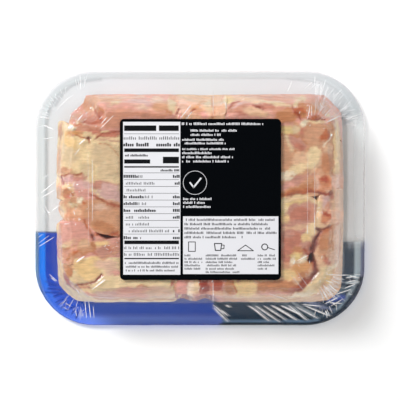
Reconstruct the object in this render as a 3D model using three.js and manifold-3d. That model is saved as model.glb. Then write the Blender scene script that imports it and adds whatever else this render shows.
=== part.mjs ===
// Sealed tray of raw boneless chicken thighs. The clear tray lies on its film-covered mouth, so that its base,
// with the label stuck on it, is on top.
// Millimetres, +Z up. The origin is on the resting face under the middle of the pack, and +X runs along its length.
import * as THREE from "three";
import { mergeVertices } from "three/addons/utils/BufferGeometryUtils.js";
import Module from "manifold-3d";

const wasm = await Module();
wasm.setup();

// Driving dimensions
const packLength = 219;
const packWidth = 169;
const rimCorner = 39;
const filmThick = 0.3;
const sheetGap = 0.3;
const trayThick = 0.6;
const flangeWidth = { ends: 6.5, sides: 3.9 };
const footCorner = 33;
const lipHeight = 2.8;
const baseTop = 41.2;
const chamferDrop = 5;
const chamferRun = 5.6;
const base = { x: 85.8, y: 59.8, r: 17.5 };
const filmMouth = { x: 46, y: 46, r: 4 };
const labelSide = 102.6;
const labelCorner = 3;
const labelThick = 0.2;
const labelShift = 0.3;

// Stacking notches pressed into the edge of the base, each with a ledge, and a shallow flute on down the wall.
// Middles lie along the side. Back is where the notch starts at the base, and step is where its ledge ends.
const endNotches = { middles: [-10.8, 10.8], width: 9, back: 74.5, step: 84 };
const sideNotches = { middles: [0], width: 31, back: 47, step: 57.5 };
const notchRamp = 0.8;
const notchSlope = 1.8;
const notchWiden = 1.6;
const fluteFoot = 9.5;

// How finely a section is drawn
const cornerSteps = 7;
const aroundThigh = 18;
const alongThigh = 22;

// Meat
const meatGap = 0.7;
const cutGap = 0.4;
const meatRoom = 0.45;
const meatDip = 3.4;
const dipRun = 13;
const lobePower = 2.5;
const lobeBlend = 3;
const rippleHeight = 1.1;
const lobeMiddle = 21;
const lobeUp = 23;

const pink = 0xdf9f8c;
const mauve = 0xcf9a98;
const tan = 0xd9a27c;
const fat = 0xe6cfa2;

const flangeUnder = filmThick + sheetGap;
const flangeTop = flangeUnder + trayThick;
const lipTop = flangeUnder + lipHeight;
const wallTop = baseTop - chamferDrop;
const filmOver = baseTop + sheetGap;

// Sections of the pack: rounded rectangles given by half sizes, a corner radius and a height

// A copy of a section, moved out by a distance and set at a height.
function grown(section, out, z) {
  return { x: section.x + out, y: section.y + out, r: section.r + out, z };
}

const rim = { x: packLength / 2, y: packWidth / 2, r: rimCorner };
const trayRim = grown(rim, -filmThick - sheetGap, flangeUnder);
const wallFoot = {
  x: trayRim.x - flangeWidth.ends,
  y: trayRim.y - flangeWidth.sides,
  r: footCorner,
  z: flangeTop,
};
const wallHead = grown(base, chamferRun, wallTop);

// The wall's section at a height between its foot and its head.
function wallAt(z) {
  const share = (z - wallFoot.z) / (wallHead.z - wallFoot.z);
  const mix = (key) => wallFoot[key] + (wallHead[key] - wallFoot[key]) * share;
  return { x: mix("x"), y: mix("y"), r: mix("r"), z };
}

// How far out a notch reaches where a section cuts it: at full width, at the outer end of its ledge, at the inner end
// of the ledge, or at its back in the base.
const notchReach = {
  full: (notches, half) => half,
  step: (notches) => notches.step,
  ledge: (notches) => notches.back + notchSlope,
  back: (notches) => notches.back,
};

// One side's points, as [along, out], from its first corner to its last. Thick is how far inside the outer skin the
// section lies, which widens each notch and moves its back inwards.
function sidePoints(half, notches, depth, thick) {
  const points = [];
  if (!depth) return points;
  const pressed = Math.min(half, notchReach[depth](notches, half + thick) - thick);
  for (const place of notches.middles) {
    const reach = notches.width / 2 + notchWiden * thick;
    points.push([place - reach, half], [place - reach + notchRamp, pressed]);
    points.push([place + reach - notchRamp, pressed], [place + reach, half]);
  }
  return points;
}

// The points round a section, counter-clockwise seen from above, with points for the notches where a depth is given.
function ring(section, depth, thick = 0) {
  const { x, y, r, z } = section;
  const sides = [
    { half: x, notches: endNotches, place: (along, out) => [out, along], corner: [x - r, y - r] },
    { half: y, notches: sideNotches, place: (along, out) => [-along, out], corner: [r - x, y - r] },
    { half: x, notches: endNotches, place: (along, out) => [-out, -along], corner: [r - x, r - y] },
    { half: y, notches: sideNotches, place: (along, out) => [along, -out], corner: [x - r, r - y] },
  ];
  const points = [];
  sides.forEach(({ half, notches, place, corner }, side) => {
    for (const [along, out] of sidePoints(half, notches, depth, thick)) points.push([...place(along, out), z]);
    for (let i = 0; i <= cornerSteps; i++) {
      const angle = (side + i / cornerSteps) * (Math.PI / 2);
      points.push([corner[0] + r * Math.cos(angle), corner[1] + r * Math.sin(angle), z]);
    }
  });
  return points;
}

const same = (a, b) => a.every((value, axis) => Math.abs(value - b[axis]) < 1e-6);

// Adds a triangle, unless two of its corners are one point.
function addTriangle(positions, a, b, c) {
  if (same(a, b) || same(b, c) || same(c, a)) return;
  positions.push(...a, ...b, ...c);
}

// Triangles between each ring and the next, where all have as many points.
function addBands(positions, rings) {
  for (let level = 1; level < rings.length; level++) {
    const [low, high] = [rings[level - 1], rings[level]];
    for (let i = 0; i < low.length; i++) {
      const j = (i + 1) % low.length;
      addTriangle(positions, low[i], low[j], high[j]);
      addTriangle(positions, low[i], high[j], high[i]);
    }
  }
}

// A flat cap over a ring.
function addCap(positions, points, up) {
  const outline = points.map(([x, y]) => new THREE.Vector2(x, y));
  for (const [a, b, c] of THREE.ShapeUtils.triangulateShape(outline, [])) {
    const [second, third] = up ? [b, c] : [c, b];
    addTriangle(positions, points[a], points[second], points[third]);
  }
}

function toGeometry(positions) {
  const geometry = new THREE.BufferGeometry();
  geometry.setAttribute("position", new THREE.Float32BufferAttribute(positions, 3));
  return mergeVertices(geometry, 1e-3);
}

function toSolid(geometry) {
  const bare = new THREE.BufferGeometry();
  bare.setAttribute("position", geometry.getAttribute("position"));
  if (geometry.index) bare.setIndex(geometry.index);
  const merged = mergeVertices(bare, 1e-3);
  return new wasm.Manifold(
    new wasm.Mesh({
      numProp: 3,
      vertProperties: merged.attributes.position.array,
      triVerts: new Uint32Array(merged.index.array),
    }),
  );
}

function fromSolid(solid) {
  const mesh = solid.getMesh();
  const positions = [];
  for (const corner of mesh.triVerts) {
    for (let axis = 0; axis < 3; axis++) positions.push(mesh.vertProperties[corner * mesh.numProp + axis]);
  }
  return toGeometry(positions);
}

// Clear tray: lip, flange, sloping wall, chamfer and a flat base with notches in its edge

// The wall and base, from the bottom of the wall upwards, a distance inside the outer skin.
function bowl(thick, foot) {
  return [
    ring(grown(wallAt(foot), -thick, foot), "full", thick),
    ring(grown(wallAt(fluteFoot), -thick, fluteFoot), "full", thick),
    ring(grown(wallHead, -thick, wallTop - thick), "step", thick),
    ring(grown(wallHead, -thick, wallTop - thick), "ledge", thick),
    ring(grown(base, -thick, baseTop - thick), "back", thick),
  ];
}

function makeTray() {
  const outer = [
    ring(trayRim, "full"),
    ring(grown(trayRim, 0, lipTop), "full"),
    ring(grown(trayRim, -trayThick, lipTop), "full"),
    ring(grown(trayRim, -trayThick, flangeTop), "full"),
    ...bowl(0, flangeTop),
  ];
  const inner = bowl(trayThick, flangeUnder);
  const positions = [];
  addBands(positions, [...inner.toReversed(), ...outer]);
  addCap(positions, outer.at(-1), true);
  addCap(positions, inner.at(-1), false);
  return toGeometry(positions);
}

// The space that the meat fills: the tray's inside, down to a shallow bulge where the film holds it.
function makeMeatSpace() {
  const thick = trayThick + meatRoom;
  const dip = grown(wallAt(fluteFoot), -thick - dipRun, fluteFoot - meatDip);
  const rings = [ring(dip, "full", thick), ...bowl(thick, flangeTop).slice(1)];
  const positions = [];
  addCap(positions, rings[0], false);
  addBands(positions, rings);
  addCap(positions, rings.at(-1), true);
  return toSolid(toGeometry(positions));
}

// Stretched film: over the mouth, round the rim, up to the chamfer and in over the base, open under the label

function makeFilm() {
  const skin = (inward) => {
    const clear = sheetGap + filmThick - inward;
    return [
      ring(grown(rim, -2 * filmThick, inward)),
      ring(grown(rim, -inward, 2 * filmThick)),
      ring(grown(rim, -inward, lipTop + sheetGap)),
      ring(grown(wallHead, clear, wallTop + clear)),
      ring(grown(base, clear, baseTop + clear)),
      ring({ ...filmMouth, z: baseTop + clear }),
    ];
  };
  const outer = skin(0);
  const inner = skin(filmThick);
  const positions = [];
  addCap(positions, outer[0], false);
  addBands(positions, [...outer, ...inner.toReversed()]);
  addCap(positions, inner[0], true);
  return toGeometry(positions);
}

// Square paper label with round corners

function makeLabel() {
  const half = labelSide / 2;
  const inside = half - labelCorner;
  const outline = new THREE.Shape();
  outline.absarc(inside, inside, labelCorner, 0, Math.PI / 2);
  outline.absarc(-inside, inside, labelCorner, Math.PI / 2, Math.PI);
  outline.absarc(-inside, -inside, labelCorner, Math.PI, 1.5 * Math.PI);
  outline.absarc(inside, -inside, labelCorner, 1.5 * Math.PI, 2 * Math.PI);
  return new THREE.ExtrudeGeometry(outline, { depth: labelThick, bevelEnabled: false, curveSegments: 5 });
}

// Thighs. Each is a roll about a spine from one [x, y] to another, swollen by the lobes of muscle and fat in it.
// A lobe gives its middle [x, y], its half sizes [along, across], its turn about Z in degrees, and its half height
// where that isn't the usual one.

const thighs = {
  thigh_top_left: {
    colour: pink,
    spine: [[-72, 52], [-26, 54]],
    lobes: [
      { at: [-43, 55], half: [33, 15], turn: 0 },
      { at: [-69, 49], half: [11, 11], turn: 25 },
      { at: [-76, 46], half: [8, 7], turn: 40, up: 20 },
      { at: [-74, 61], half: [10, 8], turn: 35, up: 21 },
    ],
  },
  thigh_left_upper: {
    colour: fat,
    spine: [[-72, 22], [-22, 22]],
    lobes: [
      { at: [-68, 29], half: [27, 16], turn: 4 },
      { at: [-40, 28], half: [27, 16], turn: 0 },
      { at: [-58, 9], half: [30, 12], turn: -5 },
      { at: [-86, 7], half: [9, 6], turn: 0, up: 19 },
      { at: [-88, 41], half: [8, 10], turn: 0, up: 21 },
      { at: [-34, 9], half: [21, 13], turn: 0 },
    ],
  },
  thigh_left_middle: {
    colour: tan,
    spine: [[-72, -9], [-20, -21]],
    lobes: [
      { at: [-58, -11], half: [31, 10.5], turn: -14 },
      { at: [-28, -19], half: [27, 12], turn: -8 },
      { at: [-77, -8], half: [9, 8], turn: 0, up: 21 },
    ],
  },
  thigh_left_lower: {
    colour: pink,
    spine: [[-80, -28], [-24, -36]],
    lobes: [
      { at: [-79, -25], half: [13, 12], turn: 0 },
      { at: [-83, -35], half: [9, 8], turn: 0, up: 21 },
      { at: [-69, -31], half: [9, 7], turn: 10 },
      { at: [-52, -33], half: [16, 8], turn: 8, up: 21 },
      { at: [-26, -37], half: [24, 9], turn: 0 },
    ],
  },
  thigh_bottom_left: {
    colour: fat,
    spine: [[-72, -52], [-28, -54]],
    lobes: [
      { at: [-60, -51], half: [32, 16], turn: 0 },
      { at: [-34, -56], half: [21, 13], turn: 0 },
      { at: [-84, -48], half: [10, 14], turn: 0, up: 20 },
    ],
  },
  thigh_top_middle: {
    colour: tan,
    spine: [[0, 62], [1, 14]],
    lobes: [
      { at: [-6, 60], half: [8.5, 12], turn: 0 },
      { at: [7, 58], half: [11, 14], turn: 0 },
      { at: [0, 44], half: [14, 16], turn: 0 },
      { at: [1, 24], half: [14, 18], turn: 0 },
      { at: [1, 9], half: [13, 10], turn: 0, up: 21 },
    ],
  },
  thigh_top_right: {
    colour: mauve,
    spine: [[24, 54], [82, 52]],
    lobes: [
      { at: [40, 62], half: [26, 9], turn: -6 },
      { at: [23, 55], half: [12, 9], turn: 15 },
      { at: [46, 53], half: [19, 8], turn: -14 },
      { at: [76, 57], half: [18, 11], turn: -12 },
      { at: [87, 46], half: [8, 14], turn: 0, up: 20 },
    ],
  },
  thigh_right_upper: {
    colour: mauve,
    spine: [[32, 24], [74, 20]],
    lobes: [
      { at: [54, 31], half: [19, 14], turn: 0 },
      { at: [71, 41], half: [13, 9], turn: -12 },
      { at: [73, 25], half: [13, 12], turn: 30 },
      { at: [38, 30], half: [23, 16], turn: 0 },
      { at: [68, 12], half: [26, 9.5], turn: 10 },
      { at: [39, 9], half: [23, 12], turn: 4 },
      { at: [87, 21], half: [9, 16], turn: 0, up: 21 },
      { at: [83, 36], half: [9, 11], turn: 0 },
    ],
  },
  thigh_right_middle: {
    colour: mauve,
    spine: [[14, -18], [60, -20]],
    lobes: [
      { at: [62, -10], half: [16, 12], turn: 0 },
      { at: [60, -28], half: [13, 12], turn: 20 },
      { at: [28, -20], half: [32, 17], turn: 0 },
    ],
  },
  thigh_bottom_right: {
    colour: pink,
    spine: [[80, -32], [58, -56]],
    lobes: [
      { at: [82, -28], half: [12, 19], turn: 0 },
      { at: [87, -6], half: [9, 11], turn: 0, up: 21 },
      { at: [82, -6], half: [9, 12], turn: 0 },
      { at: [82, -50], half: [14, 14], turn: 45 },
      { at: [50, -46], half: [20, 7.5], turn: 12 },
      { at: [58, -58], half: [30, 10], turn: 0 },
    ],
  },
  thigh_bottom_middle: {
    colour: mauve,
    spine: [[-2, -48], [16, -54]],
    lobes: [
      { at: [-4, -55], half: [12, 14], turn: 0 },
      { at: [16, -55], half: [16, 14], turn: 0 },
      { at: [6, -42], half: [18, 11], turn: 0 },
    ],
  },
};

// Distance from a point to a lobe's skin along the ray from its middle, negative inside.
function lobeDistance({ at, half, turn, up = lobeUp }, p) {
  const angle = THREE.MathUtils.degToRad(turn);
  const dx = p.x - at[0];
  const dy = p.y - at[1];
  const dz = p.z - lobeMiddle;
  const along = dx * Math.cos(angle) + dy * Math.sin(angle);
  const across = -dx * Math.sin(angle) + dy * Math.cos(angle);
  const shares = [along / half[0], across / half[1], dz / up];
  const size = shares.reduce((sum, share) => sum + Math.abs(share) ** lobePower, 0) ** (1 / lobePower);
  const reach = Math.hypot(dx, dy, dz);
  return size < 1e-6 ? -Math.min(...half) : reach * (1 - 1 / size);
}

function smoothMin(a, b, blend) {
  const share = Math.max(blend - Math.abs(a - b), 0) / blend;
  return Math.min(a, b) - (share * share * blend) / 4;
}

// Slow swells of the flesh, different in each thigh.
function ripple(p, phase) {
  const across = Math.sin(p.x / 7.5 + phase * 2.1) * Math.sin(p.y / 6 + phase * 1.3);
  const up = Math.sin(p.z / 8 + phase * 0.7 + p.x / 13);
  return rippleHeight * (0.65 * across + 0.35 * up);
}

const names = Object.keys(thighs);
const spread = new Map();

// Distance to a thigh's skin, negative inside, as if it lay alone.
function skinDistance(name, p) {
  const { lobes } = thighs[name];
  const plain = lobes.map((lobe) => lobeDistance(lobe, p)).reduce((a, b) => smoothMin(a, b, lobeBlend));
  return plain + ripple(p, names.indexOf(name));
}

// Thighs whose lobes come near enough to press on this one.
function neighbours(name) {
  if (!spread.has(name)) {
    const near = names.filter((other) => {
      if (other === name) return false;
      return thighs[name].lobes.some((a) =>
        thighs[other].lobes.some((b) => {
          const reach = Math.max(...a.half) + Math.max(...b.half);
          return Math.hypot(a.at[0] - b.at[0], a.at[1] - b.at[1]) < reach;
        }),
      );
    });
    spread.set(name, near);
  }
  return spread.get(name);
}

// True where a point is in this thigh and further into it than into any that it presses on.
function inThigh(name, p) {
  const own = skinDistance(name, p);
  if (own > 0) return false;
  return neighbours(name).every((other) => skinDistance(other, p) - own > meatGap);
}

// How far the flesh reaches from a point on the spine in a direction.
function reachOf(name, from, direction) {
  const step = 1;
  const furthest = 90;
  const p = new THREE.Vector3();
  let near = 0;
  while (near < furthest && inThigh(name, p.copy(direction).multiplyScalar(near + step).add(from))) near += step;
  let far = near + step;
  for (let i = 0; i < 12; i++) {
    const half = (near + far) / 2;
    if (inThigh(name, p.copy(direction).multiplyScalar(half).add(from))) near = half;
    else far = half;
  }
  return near;
}

// A ball drawn out along the spine, with each of its points pushed out to the thigh's skin and a little beyond.
function swollenBall(name, beyond) {
  const [start, end] = thighs[name].spine.map(([x, y]) => new THREE.Vector3(x, y, lobeMiddle));
  const axis = end.clone().sub(start).normalize();
  const ball = new THREE.SphereGeometry(1, aroundThigh, alongThigh);
  ball.applyQuaternion(new THREE.Quaternion().setFromUnitVectors(new THREE.Vector3(0, 1, 0), axis));
  const place = ball.getAttribute("position");
  const direction = new THREE.Vector3();
  for (let i = 0; i < place.count; i++) {
    direction.fromBufferAttribute(place, i).normalize();
    const along = THREE.MathUtils.clamp(direction.dot(axis), -1, 1);
    const share = 0.5 + Math.asin(along) / Math.PI;
    const from = start.clone().lerp(end, share);
    if (!inThigh(name, from)) throw new Error(name + ": its spine leaves it");
    const out = from.addScaledVector(direction, reachOf(name, from, direction) + beyond);
    place.setXYZ(i, out.x, out.y, out.z);
  }
  return toSolid(ball);
}

// Each thigh fills its share of the tray and is cut back where an earlier one presses on it.
function makeThighs() {
  const space = makeMeatSpace();
  const made = [];
  for (const name of names) {
    let flesh = swollenBall(name, 0).intersect(space);
    for (const other of made) {
      if (neighbours(name).includes(other)) flesh = flesh.subtract(swollenBall(other, cutGap));
    }
    pack.add(piece(name, fromSolid(flesh), { color: thighs[name].colour, roughness: 0.3 }));
    made.push(name);
  }
}

function piece(name, geometry, settings, z = 0) {
  const mesh = new THREE.Mesh(geometry, new THREE.MeshStandardMaterial({ metalness: 0, ...settings }));
  mesh.name = name;
  mesh.position.z = z;
  return mesh;
}

const pack = new THREE.Group();
pack.name = "thigh_pack";

const clear = { transparent: true, opacity: 0.3, roughness: 0.08 };
pack.add(piece("tray", makeTray(), { color: 0xeef3f5, ...clear }));
pack.add(piece("film", makeFilm(), { color: 0xf7fafc, ...clear }));

const label = piece("label", makeLabel(), { color: 0x0b0d12, roughness: 0.35 }, filmOver + filmThick + sheetGap);
label.position.x = labelShift;
pack.add(label);

makeThighs();

export default pack;
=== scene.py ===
# %% [markdown]
# # A sealed tray of raw chicken thighs
# The object is a shop pack that lies on its face: a clear tray, mouth down, with stretch film pulled round
# it, boneless thighs pressed against the tray's base, and a square black label stuck over the base. The
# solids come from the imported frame. This lesson gives each of them its real surface: wet flesh, clear
# plastic, wrinkled film and printed paper.

# %% Load the frame
import math

import bmesh
import bpy
import numpy as np
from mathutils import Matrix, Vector


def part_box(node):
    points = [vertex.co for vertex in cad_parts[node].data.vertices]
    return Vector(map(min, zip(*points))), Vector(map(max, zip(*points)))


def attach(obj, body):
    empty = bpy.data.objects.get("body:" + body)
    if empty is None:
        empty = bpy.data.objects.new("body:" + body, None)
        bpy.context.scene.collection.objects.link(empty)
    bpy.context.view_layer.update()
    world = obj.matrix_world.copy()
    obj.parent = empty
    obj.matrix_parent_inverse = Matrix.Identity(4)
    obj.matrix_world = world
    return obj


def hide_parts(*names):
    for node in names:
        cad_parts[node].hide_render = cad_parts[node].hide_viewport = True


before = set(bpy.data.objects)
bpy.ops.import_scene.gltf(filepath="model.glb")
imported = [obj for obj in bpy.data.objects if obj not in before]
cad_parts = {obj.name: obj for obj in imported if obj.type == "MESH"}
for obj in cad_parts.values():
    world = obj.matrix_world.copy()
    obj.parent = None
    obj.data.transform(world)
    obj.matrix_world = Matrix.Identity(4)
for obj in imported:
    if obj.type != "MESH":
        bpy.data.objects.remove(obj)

MM = 0.001
scene = bpy.context.scene
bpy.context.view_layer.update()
film_low, film_high = (Vector(corner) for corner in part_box("film"))
label_low, label_high = (Vector(corner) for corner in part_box("label"))
thigh_names = sorted(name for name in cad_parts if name.startswith("thigh_"))
print("pack", [round(side / MM, 1) for side in film_high - film_low], "mm,", len(thigh_names), "thighs")


def add_object(name, data):
    """A new object in the scene, with a mesh, a camera or a light as its data."""
    made = bpy.data.objects.new(name, data)
    scene.collection.objects.link(made)
    return made



# %% [markdown]
# ## Camera, floor and light
# The pack is seen from nearly straight above: the lens stands a little toward the far side and leans back
# by about a degree. At 0.9 m the base, which is nearer to the lens, looks about 5% larger than the rim, and
# that is what lets the sloping walls show round the meat.

# %% Camera
view_height = 0.9
view_width = 0.267
lens_shift = 18 * MM
aim_shift = 18.3 * MM
base_level = 42 * MM

camera_data = bpy.data.cameras.new("camera")
camera_data.sensor_width = 36
camera_data.lens = camera_data.sensor_width * view_height / view_width
camera = add_object("camera", camera_data)
camera.location = (0, lens_shift, view_height)
camera.rotation_euler = (-math.atan2(aim_shift, view_height - base_level), 0, 0)
scene.camera = camera
print("lens", round(camera_data.lens), "mm")

# %% [markdown]
# Every material below is a small tree of shader nodes. A few helpers keep the trees short, and another
# turns hex colours into the linear values that light needs.

# %% Colour and node helpers
def linear(hex_colour):
    """An sRGB hex colour, such as 'DE9C8A', as linear RGBA."""
    channels = []
    for start in (0, 2, 4):
        value = int(hex_colour[start:start + 2], 16) / 255
        channels.append(value / 12.92 if value <= 0.04045 else ((value + 0.055) / 1.055) ** 2.4)
    return (*channels, 1.0)


def feed(tree, socket, value):
    """Gives a socket a value, or links the output of another node to it."""
    if isinstance(value, bpy.types.NodeSocket):
        tree.links.new(value, socket)
    else:
        socket.default_value = value


def add_node(tree, kind, settings=None):
    """Adds a node. Settings are its properties, and values or outputs of other nodes for its sockets."""
    node = tree.nodes.new(kind)
    for name, value in (settings or {}).items():
        if isinstance(name, str) and hasattr(node, name):
            setattr(node, name, value)
        else:
            feed(tree, node.inputs[name], value)
    return node


def add_math(tree, operation, *terms):
    """The result of a sum on numbers and on outputs of other nodes."""
    return add_node(tree, "ShaderNodeMath", {"operation": operation, **dict(enumerate(terms))}).outputs[0]


def add_mix(tree, share, first, second):
    """One surface turning into another as the share goes from 0 to 1."""
    return add_node(tree, "ShaderNodeMixShader", {"Fac": share, 1: first, 2: second}).outputs[0]


def add_scale(tree, value, low, high, least, most):
    """A value between low and high, scaled to lie between least and most."""
    return add_node(tree, "ShaderNodeMapRange", {"From Min": low, "From Max": high, "To Min": least,
                                                 "To Max": most, "Value": value}).outputs[0]


def new_material(name):
    """An empty material: the material, its node tree, and the socket that takes the finished surface."""
    material = bpy.data.materials.new(name)
    material.use_nodes = True
    material.node_tree.nodes.clear()
    output = material.node_tree.nodes.new("ShaderNodeOutputMaterial")
    return material, material.node_tree, output.inputs["Surface"]


def plain_surface(name, settings):
    """A material with one coat: the settings are those of its Principled node."""
    material, tree, surface = new_material(name)
    tree.links.new(add_node(tree, "ShaderNodeBsdfPrincipled", settings).outputs[0], surface)
    return material


def set_inputs(modifier, values):
    """Sets the named inputs of a Geometry Nodes tree on its modifier."""
    for item in modifier.node_group.interface.items_tree:
        if item.in_out == "INPUT" and item.name in values:
            modifier[item.identifier] = values[item.name]


# %% [markdown]
# A white floor under a pale sky gives the even light of a product photograph. The patch of sky straight
# above is dark, as the ceiling round a real camera is, so that the flat clear base mirrors nothing white
# over the meat. The sky is brightest low down at the lower right, which whitens the chamfers that face that
# way.

# %% Floor
def make_floor():
    mesh = bpy.data.meshes.new("floor")
    reach, drop = 6.0, -0.5 * MM
    corners = [(-reach, -reach), (reach, -reach), (reach, reach), (-reach, reach)]
    mesh.from_pydata([(x, y, drop) for x, y in corners], [], [(0, 1, 2, 3)])
    mesh.materials.append(plain_surface("white_sweep", {"Base Color": linear("FFFFFF"), "Roughness": 0.9}))
    add_object("floor", mesh)


# %% Sky
def make_sky(strength, above, side_boost):
    world = bpy.data.worlds.new("studio")
    world.use_nodes = True
    tree = world.node_tree
    tree.nodes.clear()
    way = add_node(tree, "ShaderNodeTexCoord").outputs["Generated"]
    up = add_node(tree, "ShaderNodeSeparateXYZ", {0: way}).outputs["Z"]
    ceiling = add_scale(tree, up, 0.86, 0.97, strength, above)
    toward = add_node(tree, "ShaderNodeVectorMath", {"operation": "DOT_PRODUCT", 0: way,
                                                     1: (0.7, -0.7, -0.1)})
    side = add_scale(tree, toward.outputs["Value"], 0.2, 0.8, 0, side_boost)
    sky = add_node(tree, "ShaderNodeBackground", {"Strength": add_math(tree, "ADD", ceiling, side)})
    add_node(tree, "ShaderNodeOutputWorld", {"Surface": sky.outputs[0]})
    scene.world = world


# %% Soft box
def make_soft_box(name, place, size, power):
    light = bpy.data.lights.new(name, "AREA")
    light.shape = "SQUARE"
    light.size = size
    light.energy = power
    lamp = add_object(name, light)
    lamp.location = place
    lamp.rotation_euler = (-Vector(place)).to_track_quat("-Z", "Y").to_euler()


make_floor()
make_sky(0.72, 0.05, 1.1)
make_soft_box("key", (-0.88, 0.84, 1.05), 0.5, 22)
scene.view_settings.view_transform = "Standard"
scene.cycles.transparent_max_bounces = 24
print("the stage is set")

# %% [markdown]
# ## Shapes of the pack
# Seen from above, the rim, the walls and the base are round-cornered rectangles of different sizes. Each is
# given here by its half length, half width, corner radius and height in millimetres. Between two of them
# the tray or film runs straight, so the height of the surface over any point can be found from the two.

# %% Sections
film_foot = (109.5, 84.5, 39.0, 3.7)
film_head = (92.0, 66.0, 23.7, 36.8)
film_base = (86.4, 60.4, 18.1, 41.8)
film_flat = (85.6, 59.6, 17.3, 41.8)
wall_foot = (102.4, 80.0, 33.0, 1.2)
wall_head = (91.4, 65.4, 23.1, 36.2)
base_edge = (85.8, 59.8, 17.5, 41.2)
inside_base = 40.6
wall_thickness = 0.6
film_thickness = 0.3


def blend(first, second, share):
    """The section part of the way from one to another, for one share or for many."""
    share = np.asarray(share)[..., None]
    return np.array(first) * (1 - share) + np.array(second) * share


def outside(plan, sections):
    """How far each point lies outside its section, seen from above, and negative inside."""
    reach = np.abs(plan) - sections[..., :2] + sections[..., 2:3]
    beyond = np.linalg.norm(np.maximum(reach, 0), axis=-1)
    return beyond + np.minimum(reach.max(axis=-1), 0) - sections[..., 2]


def film_height(plan):
    """The height of the outer skin of the film over each point."""
    height = np.full(len(plan), film_base[3])
    for low, high in ((film_head, film_base), (film_foot, film_head)):
        least, most = np.zeros(len(plan)), np.ones(len(plan))
        for _ in range(20):
            share = (least + most) / 2
            is_out = outside(plan, blend(low, high, share)) > 0
            most = np.where(is_out, share, most)
            least = np.where(is_out, least, share)
        here = blend(low, high, least)
        height = np.where(outside(plan, blend(low, high, np.ones(len(plan)))) > 0, here[:, 3], height)
    return height


# %% [markdown]
# ## Raw flesh
# Boneless thighs are pale: cream and yellow fat and peach and pink muscle. The folds are painted rust-red
# and darker, as shade. The tones come from a fit of the render to the photograph, each the median over many
# places, and were then made a little warmer. Which patch or stroke below has which tone comes from the same
# fit in many cases.

# %% Colours of flesh
flesh_colours = {
    "ivory": "F8DEC0",
    "cream": "F4D0A2",
    "butter": "F4C78E",
    "khaki": "E3C099",
    "yellow": "ECC787",
    "peach": "E9B591",
    "shell": "E8B89E",
    "pink": "E6A190",
    "salmon": "DA9478",
    "lilac": "DCABA1",
    "mauve": "CF8F7B",
    "rose": "CA7A62",
    "tan": "D99B76",
    "ochre": "DE9B64",
    "brown": "CC845A",
    "copper": "C46435",
    "rust": "AD4D30",
    "maroon": "96351E",
    # The deepest folds and crevices are painted in this tone, as shade
    "blood": "6B1409",
}
palette = {name: np.array(linear(code)[:3]) for name, code in flesh_colours.items()}

# The flesh that each thigh is mostly made of
main_colour = {
    "thigh_top_left": "pink",
    "thigh_left_upper": "cream",
    "thigh_left_middle": "tan",
    "thigh_left_lower": "pink",
    "thigh_bottom_left": "cream",
    "thigh_top_middle": "peach",
    "thigh_top_right": "pink",
    "thigh_right_upper": "tan",
    "thigh_right_middle": "mauve",
    "thigh_bottom_right": "peach",
    "thigh_bottom_middle": "mauve",
}
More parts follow.
